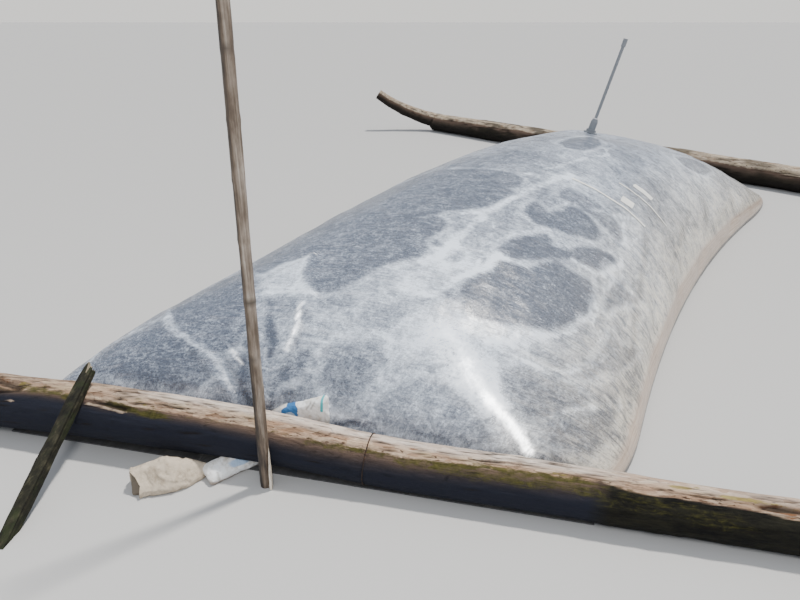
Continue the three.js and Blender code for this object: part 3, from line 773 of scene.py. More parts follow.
# Narrow veins with frayed edges: places and half width
VEINS = (
    (((0.051, 68), (0.058, 56), (0.088, 48), (0.131, 41), (0.173, 42), (0.198, 46), (0.251, 41)), 0.035),
    (((0.086, 76), (0.107, 72), (0.130, 70), (0.159, 68)), 0.04),
    (((0.120, 81), (0.158, 78), (0.225, 78), (0.287, 76), (0.362, 69)), 0.05),
    (((0.053, 51), (0.052, 46), (0.074, 37), (0.147, 26)), 0.022),
    (((0.017, 42), (0.033, 35), (0.077, 23)), 0.022),
    (((0.195, 91), (0.202, 84), (0.225, 78), (0.279, 76)), 0.025),
    (((0.153, 68), (0.156, 63), (0.153, 58), (0.143, 50)), 0.024),
    (((0.195, 57), (0.199, 49), (0.210, 44)), 0.022),
    (((0.215, 66), (0.222, 58), (0.228, 50)), 0.018),
    (((0.068, 132), (0.052, 128), (0.041, 124), (0.032, 117), (0.018, 107), (0.008, 103)), 0.016),
    (((0.059, 104), (0.083, 108), (0.100, 107), (0.122, 105)), 0.012),
    (((0.122, 105), (0.103, 104), (0.074, 98), (0.065, 95)), 0.014),
    (((0.065, 95), (0.065, 102), (0.059, 104)), 0.010),
    (((0.053, 95), (0.042, 94), (0.026, 94)), 0.012),
    (((0.28, 68), (0.31, 56), (0.35, 44)), 0.025),
    (((0.33, 80), (0.40, 74), (0.47, 70), (0.56, 70)), 0.03),
    (((0.252, 41), (0.30, 44), (0.34, 50)), 0.025),
    (((0.010, 164), (0.024, 160), (0.049, 151), (0.092, 144), (0.118, 136), (0.163, 131), (0.204, 127),
      (0.253, 123)), 0.022),
    (((452, 222), (470, 215), (490, 218), (500, 228), (490, 240), (470, 245), (455, 238)), 0.014),
    (((440, 235), (460, 240), (480, 252), (470, 262), (450, 262)), 0.012),
    (((640, 236), (612, 268), (600, 300), (596, 330)), 0.018),
    (((628, 300), (610, 322), (598, 345)), 0.014),
    (((637, 265), (630, 290), (618, 318), (608, 345)), 0.014),
    (((500, 350), (530, 365), (560, 385), (585, 410)), 0.012),
    (((545, 400), (560, 425), (570, 450)), 0.010),
    (((262, 410), (275, 375), (290, 345), (296, 325)), 0.010),
    (((264, 412), (285, 380), (310, 352)), 0.009),
    (((268, 408), (300, 385), (330, 362)), 0.009),
    (((330, 425), (362, 395), (380, 380)), 0.010),
    (((340, 428), (395, 410), (430, 400)), 0.012),
    (((262, 410), (240, 370), (228, 345), (215, 330)), 0.010),
)
# Painted glare of the sun on the near shoulder, and thin painted glints on the crests of folds: places, half
# width and strength
# Strength of the glow that the painted glare and glints give off
GLARE_LIGHT = 6.0
GLARES = (
    (((0.052, 67), (0.040, 63), (0.031, 60), (0.020, 53), (0.008, 44)), 0.095, 0.34),
    (((0.036, 61), (0.027, 57), (0.020, 53)), 0.045, 0.58),
    (((0.023, 55), (0.017, 50), (0.011, 45), (0.006, 41)), 0.030, 1.0),
    (((0.057, 96), (0.048, 95)), 0.013, 0.50),
    (((0.048, 95), (0.041, 94), (0.036, 94)), 0.011, 0.75),
    (((0.036, 94), (0.026, 94)), 0.010, 0.40),
    (((231, 351), (236, 358), (241, 364)), 0.009, 0.62),
    (((253, 322), (251, 340), (250, 352)), 0.008, 0.45),
    (((533, 450), (536, 440), (536, 422)), 0.012, 0.42),
    (((538, 455), (545, 440), (555, 425)), 0.008, 0.3),
)
# Painted shade in the creases and fold valleys: places, half width and strength
CREASE_SHADES = (
    (((0.018, 102), (0.013, 101), (0.008, 100), (0.003, 97)), 0.022, 1.0),
    (((268, 308), (271, 325), (272, 345), (269, 358)), 0.016, 0.7),
    (((305, 312), (300, 330), (292, 350), (282, 370)), 0.018, 0.6),
    (((335, 426), (352, 424), (375, 425)), 0.014, 0.9),
    (((0.028, 103), (0.018, 98), (0.006, 96)), 0.014, 0.6),
    (((0.34, 38), (0.27, 33), (0.20, 29), (0.14, 24)), 0.030, 0.5),
    (((0.52, 32), (0.42, 27), (0.34, 22)), 0.026, 0.35),
)
# Clear windows through which the crust shows: how clear, and the outline
CLEAR_ZONES = (
    (1.0, ((459, 302), (462, 289), (469, 281), (480, 276), (496, 274), (494, 265), (500, 262), (515, 264),
           (528, 269), (536, 266), (545, 263), (556, 263), (566, 268), (578, 275), (588, 281), (594, 288),
           (596, 297), (594, 308), (589, 316), (578, 322), (566, 328), (552, 330), (535, 328), (515, 326),
           (495, 323), (478, 319), (466, 313))),
    (1.0, ((497, 249), (500, 245), (510, 241), (523, 238), (538, 236), (548, 236), (552, 241), (551, 247),
           (562, 249), (573, 252), (578, 256), (573, 259), (560, 260), (548, 258), (536, 260), (528, 260),
           (514, 258), (503, 254))),
    (0.95, ((574, 248), (585, 247), (597, 248), (606, 252), (614, 257), (617, 261), (612, 266), (604, 271),
            (596, 270), (586, 266), (577, 262), (572, 256))),
    (0.9, ((524, 213), (526, 207), (531, 203), (537, 201), (541, 207), (543, 213), (549, 213), (556, 210),
           (562, 212), (566, 207), (575, 206), (584, 212), (592, 220), (600, 229), (603, 236), (597, 240),
           (588, 240), (580, 236), (570, 236), (560, 232), (550, 228), (538, 224), (529, 219))),
    (0.45, ((557, 190), (568, 186), (585, 195), (600, 205), (615, 220), (625, 235), (618, 242), (605, 230),
            (590, 214), (575, 203), (562, 199))),
    (0.72, ((262, 274), (285, 263), (300, 259), (313, 254), (306, 264), (303, 275), (308, 285), (318, 292),
            (335, 293), (345, 287), (360, 280), (370, 272), (385, 265), (400, 262), (420, 257), (425, 250),
            (425, 243), (432, 238), (445, 228), (445, 222), (440, 216), (442, 211), (460, 210), (480, 208),
            (495, 203), (508, 198), (516, 193), (509, 189), (519, 188), (524, 180), (515, 174), (500, 170),
            (480, 169), (460, 169), (440, 170), (0.3, 122), (0.2, 130), (0.12, 128))),
    (0.8, ((0.085, 138), (0.092, 134), (210, 287), (230, 277), (246, 270), (247, 300), (246, 330), (238, 345),
           (225, 352), (212, 352), (198, 343), (186, 333), (176, 325))),
    (0.7, ((100, 352), (0.045, 142), (140, 331), (160, 320), (166, 330), (172, 338), (186, 342), (200, 352),
           (212, 362), (216, 372), (200, 385), (180, 392), (150, 386), (125, 380), (100, 377), (85, 374),
           (0.049, 150))),
    (0.25, ((322, 352), (335, 345), (350, 341), (370, 338), (385, 342), (380, 352), (385, 362), (380, 372),
            (372, 382), (362, 395), (352, 405), (340, 412), (330, 405), (327, 395), (318, 380), (322, 365))),
    (0.12, ((385, 395), (400, 385), (420, 378), (440, 378), (452, 384), (462, 395), (475, 405), (482, 418),
            (490, 430), (497, 443), (480, 447), (450, 446), (420, 440), (400, 433), (380, 428), (370, 420),
            (375, 408))),
    (0.35, ((500, 370), (520, 365), (540, 372), (560, 380), (580, 390), (590, 398), (580, 405), (560, 412),
            (545, 420), (530, 425), (515, 420), (505, 405), (497, 390))),
    (0.45, ((545, 428), (575, 418), (600, 408), (618, 405), (615, 425), (605, 445), (590, 455), (570, 450),
            (550, 445), (540, 438))),
    (0.6, ((606, 295), (612, 285), (620, 280), (627, 278), (625, 290), (633, 295), (637, 300), (630, 306),
           (622, 304), (615, 305), (608, 312), (603, 308))),
    (0.7, ((558, 143), (570, 138), (590, 137), (600, 140), (601, 145), (595, 149), (580, 150), (565, 148))),
    (0.5, ((675, 156), (690, 158), (705, 165), (712, 170), (705, 175), (695, 172), (683, 165))),
    (0.6, ((266, 312), (272, 318), (276, 335), (274, 350), (268, 362), (264, 345), (262, 325))),
    (0.7, ((285, 365), (300, 352), (315, 345), (310, 360), (295, 375), (280, 385), (275, 400), (268, 408),
           (266, 390), (275, 375))),
    (0.35, ((448, 252), (455, 247), (462, 252), (466, 258), (455, 262), (445, 260))),
    (0.5, ((610, 330), (622, 345), (640, 350), (632, 362), (618, 372), (600, 372), (588, 380), (575, 372),
           (590, 362), (604, 350))),
)
# Outline of thick white condensation
WHITE_ZONE = (
    (400, 325), (440, 300), (458, 310), (480, 325), (520, 335), (505, 345), (492, 375), (500, 395),
    (490, 400), (470, 385), (440, 370), (415, 360), (395, 345),
)
# Outline of the film's pale pointed fold
SAIL = (
    (262, 276), (275, 269), (288, 262), (300, 258), (313, 253), (307, 262), (302, 272), (303, 282),
    (308, 290), (314, 296), (300, 296), (285, 294), (272, 297), (262, 300),
)
# Raised folds and creases: places, half width and height in metres
FOLDS = (
    (((0.059, 104), (0.083, 108), (0.100, 107), (0.122, 105)), 0.020, 0.013),
    (((0.122, 105), (0.103, 104), (0.074, 98), (0.065, 95)), 0.022, 0.012),
    (((0.065, 95), (0.065, 102), (0.059, 104)), 0.018, 0.008),
    (((0.068, 132), (0.041, 124), (0.032, 117), (0.018, 107)), 0.018, 0.009),
    (((0.053, 95), (0.042, 94), (0.022, 94), (0.006, 95)), 0.026, 0.018),
    (((0.038, 103), (0.023, 100), (0.006, 97)), 0.024, 0.016),
    (((0.020, 107), (0.010, 103), (0.002, 98)), 0.022, -0.026),
    (((0.030, 88), (0.014, 90), (0.004, 94)), 0.022, 0.012),
    (((0.026, 114), (0.012, 106), (0.003, 99)), 0.022, 0.012),
    (((0.033, 60), (0.017, 51), (0.006, 42)), 0.060, 0.014),
    (((0.16, 30), (0.10, 22), (0.06, 14)), 0.05, -0.010),
    (((0.30, 28), (0.22, 18), (0.16, 10)), 0.06, -0.010),
    (((0.46, 26), (0.38, 16), (0.32, 8)), 0.06, -0.010),
    (((0.62, 28), (0.54, 16), (0.48, 8)), 0.06, -0.010),
    (((0.80, 36), (0.74, 20), (0.68, 9)), 0.06, -0.012),
    (((0.20, 150), (0.14, 160), (0.10, 168)), 0.05, -0.010),
    (((0.42, 148), (0.36, 160), (0.32, 170)), 0.06, -0.012),
    (((0.66, 148), (0.62, 160), (0.58, 170)), 0.06, -0.012),
    (((0.86, 130), (0.84, 150), (0.80, 166)), 0.06, -0.012),
    (((0.93, 60), (0.97, 50), (0.99, 44)), 0.05, 0.012),
    (((0.93, 92), (0.97, 94), (0.99, 96)), 0.05, 0.012),
    (((0.93, 124), (0.97, 132), (0.99, 138)), 0.05, 0.012),
)

# The film's and the crust's grids, closer where the photo looks closely: step and film place there
BAG_STEPS, CRUST_STEPS = (262, 162), (250, 140)
SHARE_STATIONS = ((0, 0.08, 0.50, 0.82, 0.95, 1), (0, 0.008, 0.18, 0.70, 0.985, 1))
DEGREE_STATIONS = ((0, 0.65, 1), (0, 105, 180))
# How far the noise frays the edges of lines on the film
FRAY = 0.045
# Height over which painted shade darkens the film along its floor line
FLOOR_SHADE_HEIGHT = 0.05
# Metres over the crown for a radian, on the film's map
CROWN_REACH = 1.25
PATCH_STEP, PATCH_PROUD, PATCH_THICKNESS = 0.012, 0.0035, 0.0015
CRUST_TOP, CRUST_ROOM = 0.050, 0.012


def off_line(points, line):
    """Distance of each point from a line on the film."""
    return off_stops(points, bag_point(*zip(*on_film(line))))


def depth_in_zone(share, degrees, skin, outline):
    """How far inside an outline each film place lies, in metres; below 0 outside it."""
    closed = on_film((*outline, outline[0]))
    inside = np.zeros(len(share), bool)
    for (s0, d0), (s1, d1) in zip(closed, closed[1:]):
        if d0 != d1:
            reach = s0 + (degrees - d0) * (s1 - s0) / (d1 - d0)
            inside ^= ((d0 > degrees) != (d1 > degrees)) & (share < reach)
    away = off_line(skin, closed)
    return np.where(inside, away, -away)


def strongest_line(points, lines, off=off_line):
    """The strongest of several soft-edged lines at each point, with a function for the distance."""
    total = np.zeros(len(points))
    for line, width, strength in lines:
        total = np.maximum(total, strength * bell(off(points, line), width))
    return total


def film_lift(share, degrees, skin):
    """Wrinkles over the plain form, fading out at the floor and round the outlet."""
    lift = cloud(skin, (2.2, 0.9, 2.2), 3) * 0.007 + cloud(skin, 9, 5) * 0.0022
    for line, width, height in FOLDS:
        lift += height * bell(off_line(skin, line), width)
    free = np.clip(np.minimum(share, 1 - share) / 0.004, 0, 1)
    free = free * np.clip(np.sin(np.radians(degrees)) / 0.1, 0, 1)
    away = np.linalg.norm(skin - OUTLET_PLACE, axis=1)
    return lift * free * rising(away, 0.07, 0.15)


def film_place(share, degrees, proud=0.0):
    """The wrinkled film at arrays of shares and angles, stood off by a distance."""
    skin = bag_point(share, degrees)
    lift = film_lift(share, degrees, skin) + proud
    return skin + bag_normal(share, degrees) * lift[:, None]


def film_veil(share, degrees, skin, frayed):
    """How milky the film is: thicker in the white zone, on the sail and flank and along the streaks, with a
    painted halo of the glare on the near shoulder.
    """
    veil = 0.40 + 0.14 * cloud(skin, (1.6, 1.1, 1.6), 11) - 0.10 * rising(degrees, 92, 20)
    veil += 0.24 * np.clip(depth_in_zone(share, degrees, frayed, WHITE_ZONE) / 0.10 + 0.8, 0, 1)
    veil -= 0.26 * falling(degrees, 36, 10) * falling(share, 0.16, 0.08)
    # Painted highlight: a broad halo of the glare on the near shoulder
    veil += 0.12 * falling(share, 0.034, 0.02) * falling(degrees, 92, 8) * rising(degrees, 44, 10)
    flank = falling(degrees, 62, 20) * rising(degrees, 10, 10)
    veil += 0.13 * flank * rising(share, 0.15, 0.08) * falling(share, 0.80, 0.10)
    veil += 0.30 * np.clip(depth_in_zone(share, degrees, skin, SAIL) / 0.03 + 0.9, 0, 1)
    for line, width, strength in HAZES:
        veil += 0.36 * strength * bell(off_line(frayed, line), width)
    return veil


def film_windows(share, degrees, skin):
    """Depth inside the nearest clear window, and how clear that window is."""
    clear, openness = np.full(len(skin), -0.3), np.zeros(len(skin))
    for strength, outline in CLEAR_ZONES:
        depth = depth_in_zone(share, degrees, skin, outline)
        openness = np.where(depth > clear, strength, openness)
        clear = np.maximum(clear, depth)
    return np.minimum(clear, 0.3), openness


def make_bag():
    bag, flat = add_grid("bag_film", *BAG_STEPS)
    flat = (flat + 1) / 2
    share = np.interp(flat[:, 0], *SHARE_STATIONS)
    degrees = np.interp(flat[:, 1], *DEGREE_STATIONS)
    co = kept_above(film_place(share, degrees), BAG_BASE)
    move_to(bag, co)
    skin = bag_point(share, degrees)
    frayed = skin + np.stack([cloud(skin, 3.5, seed, 4) for seed in (21, 22, 23)], -1) * FRAY
    clear, openness = film_windows(share, degrees, skin)
    store(bag, "veil", film_veil(share, degrees, skin, frayed))
    store(bag, "vein", strongest_line(frayed, ((line, width, 1.0) for line, width in VEINS)))
    store(bag, "clear", clear)
    store(bag, "openness", openness)
    # Painted highlight: the sun's glare and the glints on fold crests
    store(bag, "glare", strongest_line(skin * 0.7 + frayed * 0.3, GLARES))
    # Painted shade in the creases and fold valleys
    store(bag, "crease", strongest_line(skin * 0.5 + frayed * 0.5, CREASE_SHADES))
    store(bag, "hem", falling(degrees, 16, 4))
    # Painted shade along the floor line, on the bag's right side only
    store(bag, "wet", np.clip(1 - co[:, 2] / FLOOR_SHADE_HEIGHT, 0, 1) * (degrees < 90))
    store(bag, "cream", np.clip(1 - (degrees - 8) / 50, 0, 1))
    store(bag, "far_side", rising(degrees, 92, 14))
    lay_film_map(bag, share, degrees)
    modify(bag, "SOLIDIFY", thickness=FILM_SHOWN, offset=-1)
    smooth(bag, 60)
    return finish_piece(bag, "clear_film", "gas_bag_film", film_material())


def lay_film_map(bag, share, degrees):
    """A map in metres: along the bag, and over the crown."""
    run = np.stack([share * BAG_LENGTH, np.radians(degrees) * CROWN_REACH], -1)
    layer = bag.data.uv_layers.active or bag.data.uv_layers.new(name="film")
    layer.name = "film"
    loops = np.empty(len(bag.data.loops), int)
    bag.data.loops.foreach_get("vertex_index", loops)
    layer.uv.foreach_set("vector", run[loops].astype(np.float32).ravel())


def make_patch(name, share, degrees, length, width, turn=0.0, rounded=0.0):
    """A patch that lies on the wrinkled film: length runs over the crown, width along the bag."""
    piece, flat = add_grid(name, int(width / PATCH_STEP) + 2, int(length / PATCH_STEP) + 2)
    corner = np.minimum(1, 1 / np.maximum(np.linalg.norm(flat, axis=1), 1))
    flat = flat * (1 - rounded + rounded * corner[:, None])
    u, v = flat[:, 0] * width / 2, flat[:, 1] * length / 2
    u, v = u * math.cos(turn) - v * math.sin(turn), u * math.sin(turn) + v * math.cos(turn)
    steps = bag_point([share, share], [degrees - 0.5, degrees + 0.5])
    per_degree = np.linalg.norm(steps[1] - steps[0])
    move_to(piece, film_place(share + u / BAG_LENGTH, degrees + v / per_degree, PATCH_PROUD))
    modify(piece, "SOLIDIFY", thickness=PATCH_THICKNESS, offset=-1)
    smooth(piece, 50)
    return finish_piece(piece, "white_tape", "film_" + name)


def make_crust():
    """The dry crust that floats on the slurry, out to the film on every side."""
    crust, flat = add_grid("crust", *CRUST_STEPS)
    share = 0.004 + 0.992 * (flat[:, 0] + 1) / 2
    degrees = np.degrees(np.arccos(np.clip(-flat[:, 1], -1, 1)))
    film = bag_point(share, degrees)
    plan = film * (0.997, 1, 0)
    rough = cloud(plan, 26, 31, 4) * 0.012 + cloud(plan, 5, 32) * 0.010
    plan[:, 2] = np.maximum(np.minimum(CRUST_TOP + rough, film[:, 2] - CRUST_ROOM), BAG_BASE + 0.002)
    move_to(crust, plan)
    modify(crust, "SOLIDIFY", thickness=0.001, offset=-1)
    co = places(crust)
    co[len(plan):] = plan * (1, 1, 0) + (0, 0, BAG_BASE + 0.0005)
    move_to(crust, co)
    return finish_piece(crust, "slurry", "slurry_crust")


# Logs, poles and other round timber

class Bar:
    """A closed round bar: its points' places along it, angles from its top and shares of its radius."""

    def __init__(self, name, path, sides, rings, cap_rings=3):
        bpy.ops.object.select_all(action="DESELECT")
        bpy.ops.mesh.primitive_cylinder_add(vertices=sides, radius=1, depth=2, end_fill_type="NGON")
        self.piece = named(name)
        edit(self.piece, pick_edges=lambda a, b: abs(a.z - b.z) > 1)
        bpy.ops.mesh.subdivide(number_cuts=rings)
        close_edit()
        for lid in (-1, 1):
            edit(self.piece, pick_faces=lambda face: face.normal.z * lid > 0.9 and abs(face.center.z) > 0.99)
            for _ in range(cap_rings):
                bpy.ops.mesh.inset(thickness=0.9 / cap_rings, use_boundary=True)
            bpy.ops.mesh.poke()
            close_edit()
        co = places(self.piece)
        self.stops = np.asarray(path, float)
        steps = np.linalg.norm(np.diff(self.stops, axis=0), axis=1)
        self.lengths = np.concatenate([[0], np.cumsum(steps)])
        self.length = self.lengths[-1]
        self.along = (co[:, 2] + 1) / 2 * self.length
        self.radial = np.hypot(co[:, 0], co[:, 1])
        self.angle = np.degrees(np.arctan2(co[:, 1], co[:, 0]))
        self.on_end = self.radial < 0.999

    def radius_from(self, radii):
        return np.interp(self.along, self.lengths, radii)

    def points(self, radius):
        """Places round a straight bar, so that noise meets itself all the way round."""
        turn = np.radians(self.angle)
        return np.stack([self.along, np.sin(turn) * radius, np.cos(turn) * radius], -1)

    def unrolled(self, radius):
        """Places on the bark when it is unrolled at a radius."""
        return np.stack([self.along, np.radians(self.angle) * radius], -1)

    def rough_ends(self, around, scale, seed, depth):
        return np.where(self.on_end, cloud(around, scale, seed) * depth, 0)

    def centre(self, shift=0.0):
        """The middle line beside each point, or a shift further along."""
        along = self.along + shift
        return np.stack([np.interp(along, self.lengths, self.stops[:, axis]) for axis in range(3)], -1)

    def lay(self, radius, ends=None):
        """Puts the points at their radii round the path, and moves the ends along it; angle 0 is up."""
        reach = 0.02
        axis = self.centre(reach) - self.centre(-reach)
        axis /= np.linalg.norm(axis, axis=1)[:, None]
        upward = np.array((0, 0, 1.0)) if abs(axis[0][2]) < 0.8 else np.array((0, 1.0, 0))
        side = np.cross(axis, upward)
        side /= np.linalg.norm(side, axis=1)[:, None]
        top = np.cross(side, axis)
        turn = np.radians(self.angle)[:, None]
        co = self.centre() + (top * np.cos(turn) + side * np.sin(turn)) * radius[:, None]
        if ends is not None:
            co += axis * ends[:, None]
        move_to(self.piece, co)
        edit(self.piece)
        bpy.ops.mesh.select_all(action="SELECT")
        bpy.ops.mesh.normals_make_consistent(inside=False)
        close_edit()


def off_bark_line(spots, line, bark=FRONT_BARK):
    """Distance of each place on the unrolled bark from a line of metres along and degrees round it."""
    return off_stops(spots, np.array([(along, math.radians(degrees) * bark) for along, degrees in line]))


def draw_cracks(spots, bark, zones, lengths, widths):
    """Short cracks along the grain; a zone is metres from and to, degrees from and to, and how many."""
    cracks = np.zeros(len(spots))
    for low, high, left, right, count in zones:
        for _ in range(count):
            start, at = random.uniform(low, high), random.uniform(left, right)
            length = random.uniform(*lengths)
            line = ((start, at), (start + length / 2, at + random.uniform(-3, 3)),
                    (start + length, at + random.uniform(-4, 4)))
            cracks = np.maximum(cracks, bell(off_bark_line(spots, line, bark), random.uniform(*widths)))
    return cracks


def log_path(ends, form):
    """A log's middle line through the stations of its form, and the radii there."""
    (ax, ay), (bx, by) = ends
    path = [(ax + (bx - ax) * share, ay + (by - ay) * share, BEDDING * radius + under)
            for share, radius, under in form]
    return path, [radius for _, radius, _ in form]


# Front log, in metres from its left end and degrees from its top: where its lit side ends
SHADE_EDGE = (
    (0.0, 30), (0.58, 26), (0.79, 25), (1.02, 30), (1.12, 34), (1.23, 32), (1.49, 34), (1.76, 35), (2.03, 38),
    (2.20, 34), (2.36, 31), (2.57, 32), (2.77, 27), (2.92, 22), (3.07, 22), (3.22, 16), (3.24, 21.5),
    (3.31, 28.5), (3.38, 34.5), (3.45, 32.5), (3.54, 31), (3.62, 31.5), (3.79, 32), (3.88, 38.5), (4.4, 44),
)
# Moss and lichen: places, half width and strength
FRONT_MOSS = (
    (((0.66, 17), (0.74, 20), (0.86, 24), (0.97, 30)), 0.020, 1.0),
    (((1.12, 31), (1.21, 36), (1.30, 43), (1.42, 46)), 0.018, 1.1),
    (((1.25, 12), (1.31, 26), (1.38, 38)), 0.014, 0.7),
    (((2.05, 42), (2.30, 36), (2.55, 38), (2.70, 36)), 0.016, 0.8),
    (((2.55, 36), (2.72, 30), (2.84, 27), (2.96, 27), (3.07, 25), (3.18, 26)), 0.016, 1.0),
    (((2.85, 42), (3.00, 44), (3.15, 44), (3.24, 40)), 0.032, 0.72),
    (((3.02, 18), (3.07, 17), (3.18, 20)), 0.010, 0.9),
    (((3.29, 37), (3.43, 50), (3.57, 52), (3.70, 55)), 0.030, 0.55),
    (((3.22, 58), (3.57, 71), (3.77, 73)), 0.035, 0.45),
    (((0.40, 30), (0.60, 27), (0.85, 32)), 0.010, 0.6),
    (((1.50, 40), (1.76, 38), (2.00, 36)), 0.009, 0.55),
    (((2.42, 42), (2.62, 46), (2.86, 46), (3.02, 47)), 0.028, 0.74),
)
FRONT_LICHEN = (
    (((3.47, -1), (3.51, 5), (3.54, 0)), 0.014, 1.1),
    (((3.54, -5), (3.60, -9)), 0.012, 1.0),
    (((3.65, 4.5), (3.71, 7.5), (3.78, 8)), 0.016, 1.1),
    (((3.02, 16), (3.12, 17.5)), 0.008, 0.8),
    (((0.64, 9), (0.71, 10)), 0.010, 0.8),
    (((1.29, 22), (1.33, 33)), 0.009, 0.8),
    (((3.83, 12), (3.92, 10)), 0.010, 0.7),
)
# Hollows: places, half width and depth
FRONT_HOLLOWS = (
    (((0.48, 4), (0.54, 9), (0.60, 15), (0.65, 22)), 0.018, 0.018),
    (((0.55, 35), (0.62, 32)), 0.010, 0.010),
    (((1.06, 33), (1.12, 33), (1.19, 38), (1.24, 42)), 0.009, 0.011),
    (((1.01, 22), (1.04, 28)), 0.007, 0.008),
    (((1.13, 0), (1.15, -13), (1.20, -22), (1.25, -17)), 0.004, 0.006),
    (((1.18, 22), (1.17, 6), (1.18, -6)), 0.004, 0.005),
    (((1.31, 6), (1.36, 13), (1.41, 18), (1.46, 21), (1.50, 18)), 0.004, 0.006),
    (((1.34, -4), (1.41, -1), (1.45, -1)), 0.003, 0.004),
    (((3.54, 4), (3.56, 16), (3.59, 21), (3.66, 15)), 0.004, 0.006),
    (((3.61, 2), (3.63, 14), (3.68, 17)), 0.004, 0.006),
    (((3.79, -8), (3.84, -5), (3.90, -9)), 0.009, 0.011),
    (((3.76, 19), (3.82, 21), (3.88, 18), (3.95, 19)), 0.013, 0.014),
    (((2.29, -8), (2.33, -7)), 0.006, 0.004),
    (((2.36, 7), (2.40, 17)), 0.004, 0.005),
    (((2.47, 3), (2.49, -2), (2.52, 7)), 0.006, 0.006),
    (((2.53, 12), (2.57, 25)), 0.004, 0.004),
    (((2.78, -5), (2.80, -18), (2.84, -20)), 0.006, 0.005),
    (((2.90, 8), (2.96, 5)), 0.004, 0.004),
    (((2.80, 14), (2.84, 10)), 0.005, 0.004),
    (((2.90, -24), (2.96, -34)), 0.006, 0.005),
    (((3.0, -11), (3.12, -14)), 0.005, 0.005),
)
# Pale torn wood beside a hollow, and rust-brown wood: places, half width and strength
FRONT_TEARS = (
    (((1.02, 41), (1.06, 38), (1.11, 42), (1.18, 46), (1.23, 47)), 0.008, 1.0),
    (((0.62, 52), (0.66, 50)), 0.008, 0.9),
    (((1.15, 1), (1.16, -10), (1.21, -16)), 0.010, 0.6),
    (((1.21, 10), (1.24, 2), (1.30, 0)), 0.016, 0.5),
    (((2.38, 10), (2.44, 13), (2.56, 11), (2.64, 14)), 0.012, 0.5),
    (((3.60, -4), (3.66, 0), (3.70, -4)), 0.012, 0.6),
)
FRONT_RUST = (
    (((3.79, 24), (3.83, 27), (3.90, 27)), 0.008, 1.0),
    (((3.85, 34), (3.90, 37)), 0.008, 0.9),
    (((3.76, 15), (3.84, 14)), 0.007, 0.8),
    (((0.45, -8), (0.58, 2)), 0.012, 0.7),
    (((1.30, 14), (1.40, 22), (1.48, 24)), 0.008, 0.6),
    (((2.46, 8), (2.52, 12)), 0.010, 0.7),
    (((3.53, 22), (3.58, 25)), 0.006, 0.7),
    (((3.24, 12), (3.25, 20)), 0.006, 0.7),
)
# Cracks: metres from and to, degrees from and to, how many; then their lengths and half widths
FRONT_CRACKS = (
    (0.4, 1.1, -36, 20, 30), (1.1, 1.7, -32, 26, 40), (1.7, 2.4, -34, 26, 26), (2.4, 2.8, -30, 22, 26),
    (2.7, 3.3, -34, 14, 46), (3.3, 4.35, -30, 16, 26), (0.2, 4.2, 40, 200, 50), (0.2, 4.2, -170, -38, 50),
)
FRONT_CRACK_SIZES = ((0.015, 0.06), (0.0022, 0.0042))
REAR_CRACKS = ((0.1, 6.0, -180, 180, 150),)
REAR_CRACK_SIZES = ((0.05, 0.22), (0.005, 0.009))
FRONT_CRACK_DEPTH, REAR_CRACK_DEPTH = 0.0035, 0.006
# Where the front log's bark is left, along it
BARK_START, BARK_BLEND = 3.19, 0.06
# Raised rim round a hollow
RIM_HEIGHT, RIM_AWAY, RIM_WIDTH = 0.003, 1.6, 0.5


def carve_hollows(spots, around):
    """Height of the wood round the hollows, and the share of a hollow at each place."""
    frayed = spots + np.stack([cloud(around, 45, seed) for seed in (44, 45)], -1) * 0.005
    height, hollow = np.zeros(len(spots)), np.zeros(len(spots))
    for line, width, depth in FRONT_HOLLOWS:
        away = off_bark_line(frayed, line)
        share = bell(away, width, 4)
        height += RIM_HEIGHT * bell(away - width * RIM_AWAY, width * RIM_WIDTH) - share * depth
        hollow = np.maximum(hollow, share)
    return height, hollow


def make_front_log():
    path, radii = log_path(FRONT_LOG, FRONT_LOG_FORM)
    bar = Bar("front_log", path, 132, 420)
    log, along, angle = bar.piece, bar.along, bar.angle
    radius = bar.radius_from(radii)
    around = bar.points(radius)
    spots = bar.unrolled(FRONT_BARK)
    skin = cloud(around, (1.1, 3.0, 3.0), 41) * 0.0045 + cloud(around, (3.0, 26, 26), 42, 4) * 0.0028
    skin += cloud(around, (14, 40, 40), 43) * 0.0010 - 0.003
    random.seed(7)
    cracks = draw_cracks(spots, FRONT_BARK, FRONT_CRACKS, *FRONT_CRACK_SIZES)
    height, hollow = carve_hollows(spots, around)
    skin += height - cracks * FRONT_CRACK_DEPTH
    edge = np.interp(along, *zip(*SHADE_EDGE))
    wander = cloud(around, (14, 30, 30), 46, 4) * 2.5
    bark = np.clip((angle - edge + wander) / 2 + 0.5, 0, 1) * (angle < 165)
    bark = bark * rising(along, BARK_START, BARK_BLEND)
    skin += bark * (0.004 + 0.0025 * cloud(around, (22, 30, 30), 47, 4))
    bar.lay(bar.radial * (radius + skin * (bar.radial > 0.99)), bar.rough_ends(around, 30, 48, 0.006))
    past_light = np.maximum(angle - edge, 0) * np.interp(along, (1.4, 2.1), (2.3, 1.0))
    # Painted sunlight on the crest, stored as sunlit
    crest = falling(angle, 16, 18) * rising(angle, -62, 20)
    fray = np.stack([cloud(around, 22, seed, 4) for seed in (61, 62)], -1)
    store(log, "shade", np.maximum(np.minimum(angle - edge, 0) + past_light, -angle - 70) / 60)
    store(log, "sunlit", crest * np.interp(along, (1.1, 1.45, 3.1, 3.35), (0.1, 1.0, 1.0, 0.45)))
    store(log, "worn", np.interp(along, (0.9, 1.2, 3.3, 3.7), (0.50, 0.12, 0.05, 0.45)))
    marks = (("tear", FRONT_TEARS, 0.008), ("rust", FRONT_RUST, 0.008), ("moss", FRONT_MOSS, 0.014),
             ("lichen", FRONT_LICHEN, 0.010))
    for name, lines, frayed in marks:
        store(log, name, strongest_line(spots + fray * frayed, lines, off_bark_line))
    store(log, "bark", bark)
    # Hollows darken with the cracks: painted shade in the recesses
    store(log, "crack", np.clip(cracks + hollow * 0.9, 0, 1))
    store(log, "radial", np.where(bar.on_end, bar.radial, 1.0))
    smooth(log, 70)
    return finish_piece(log, "log_wood", "front_log")


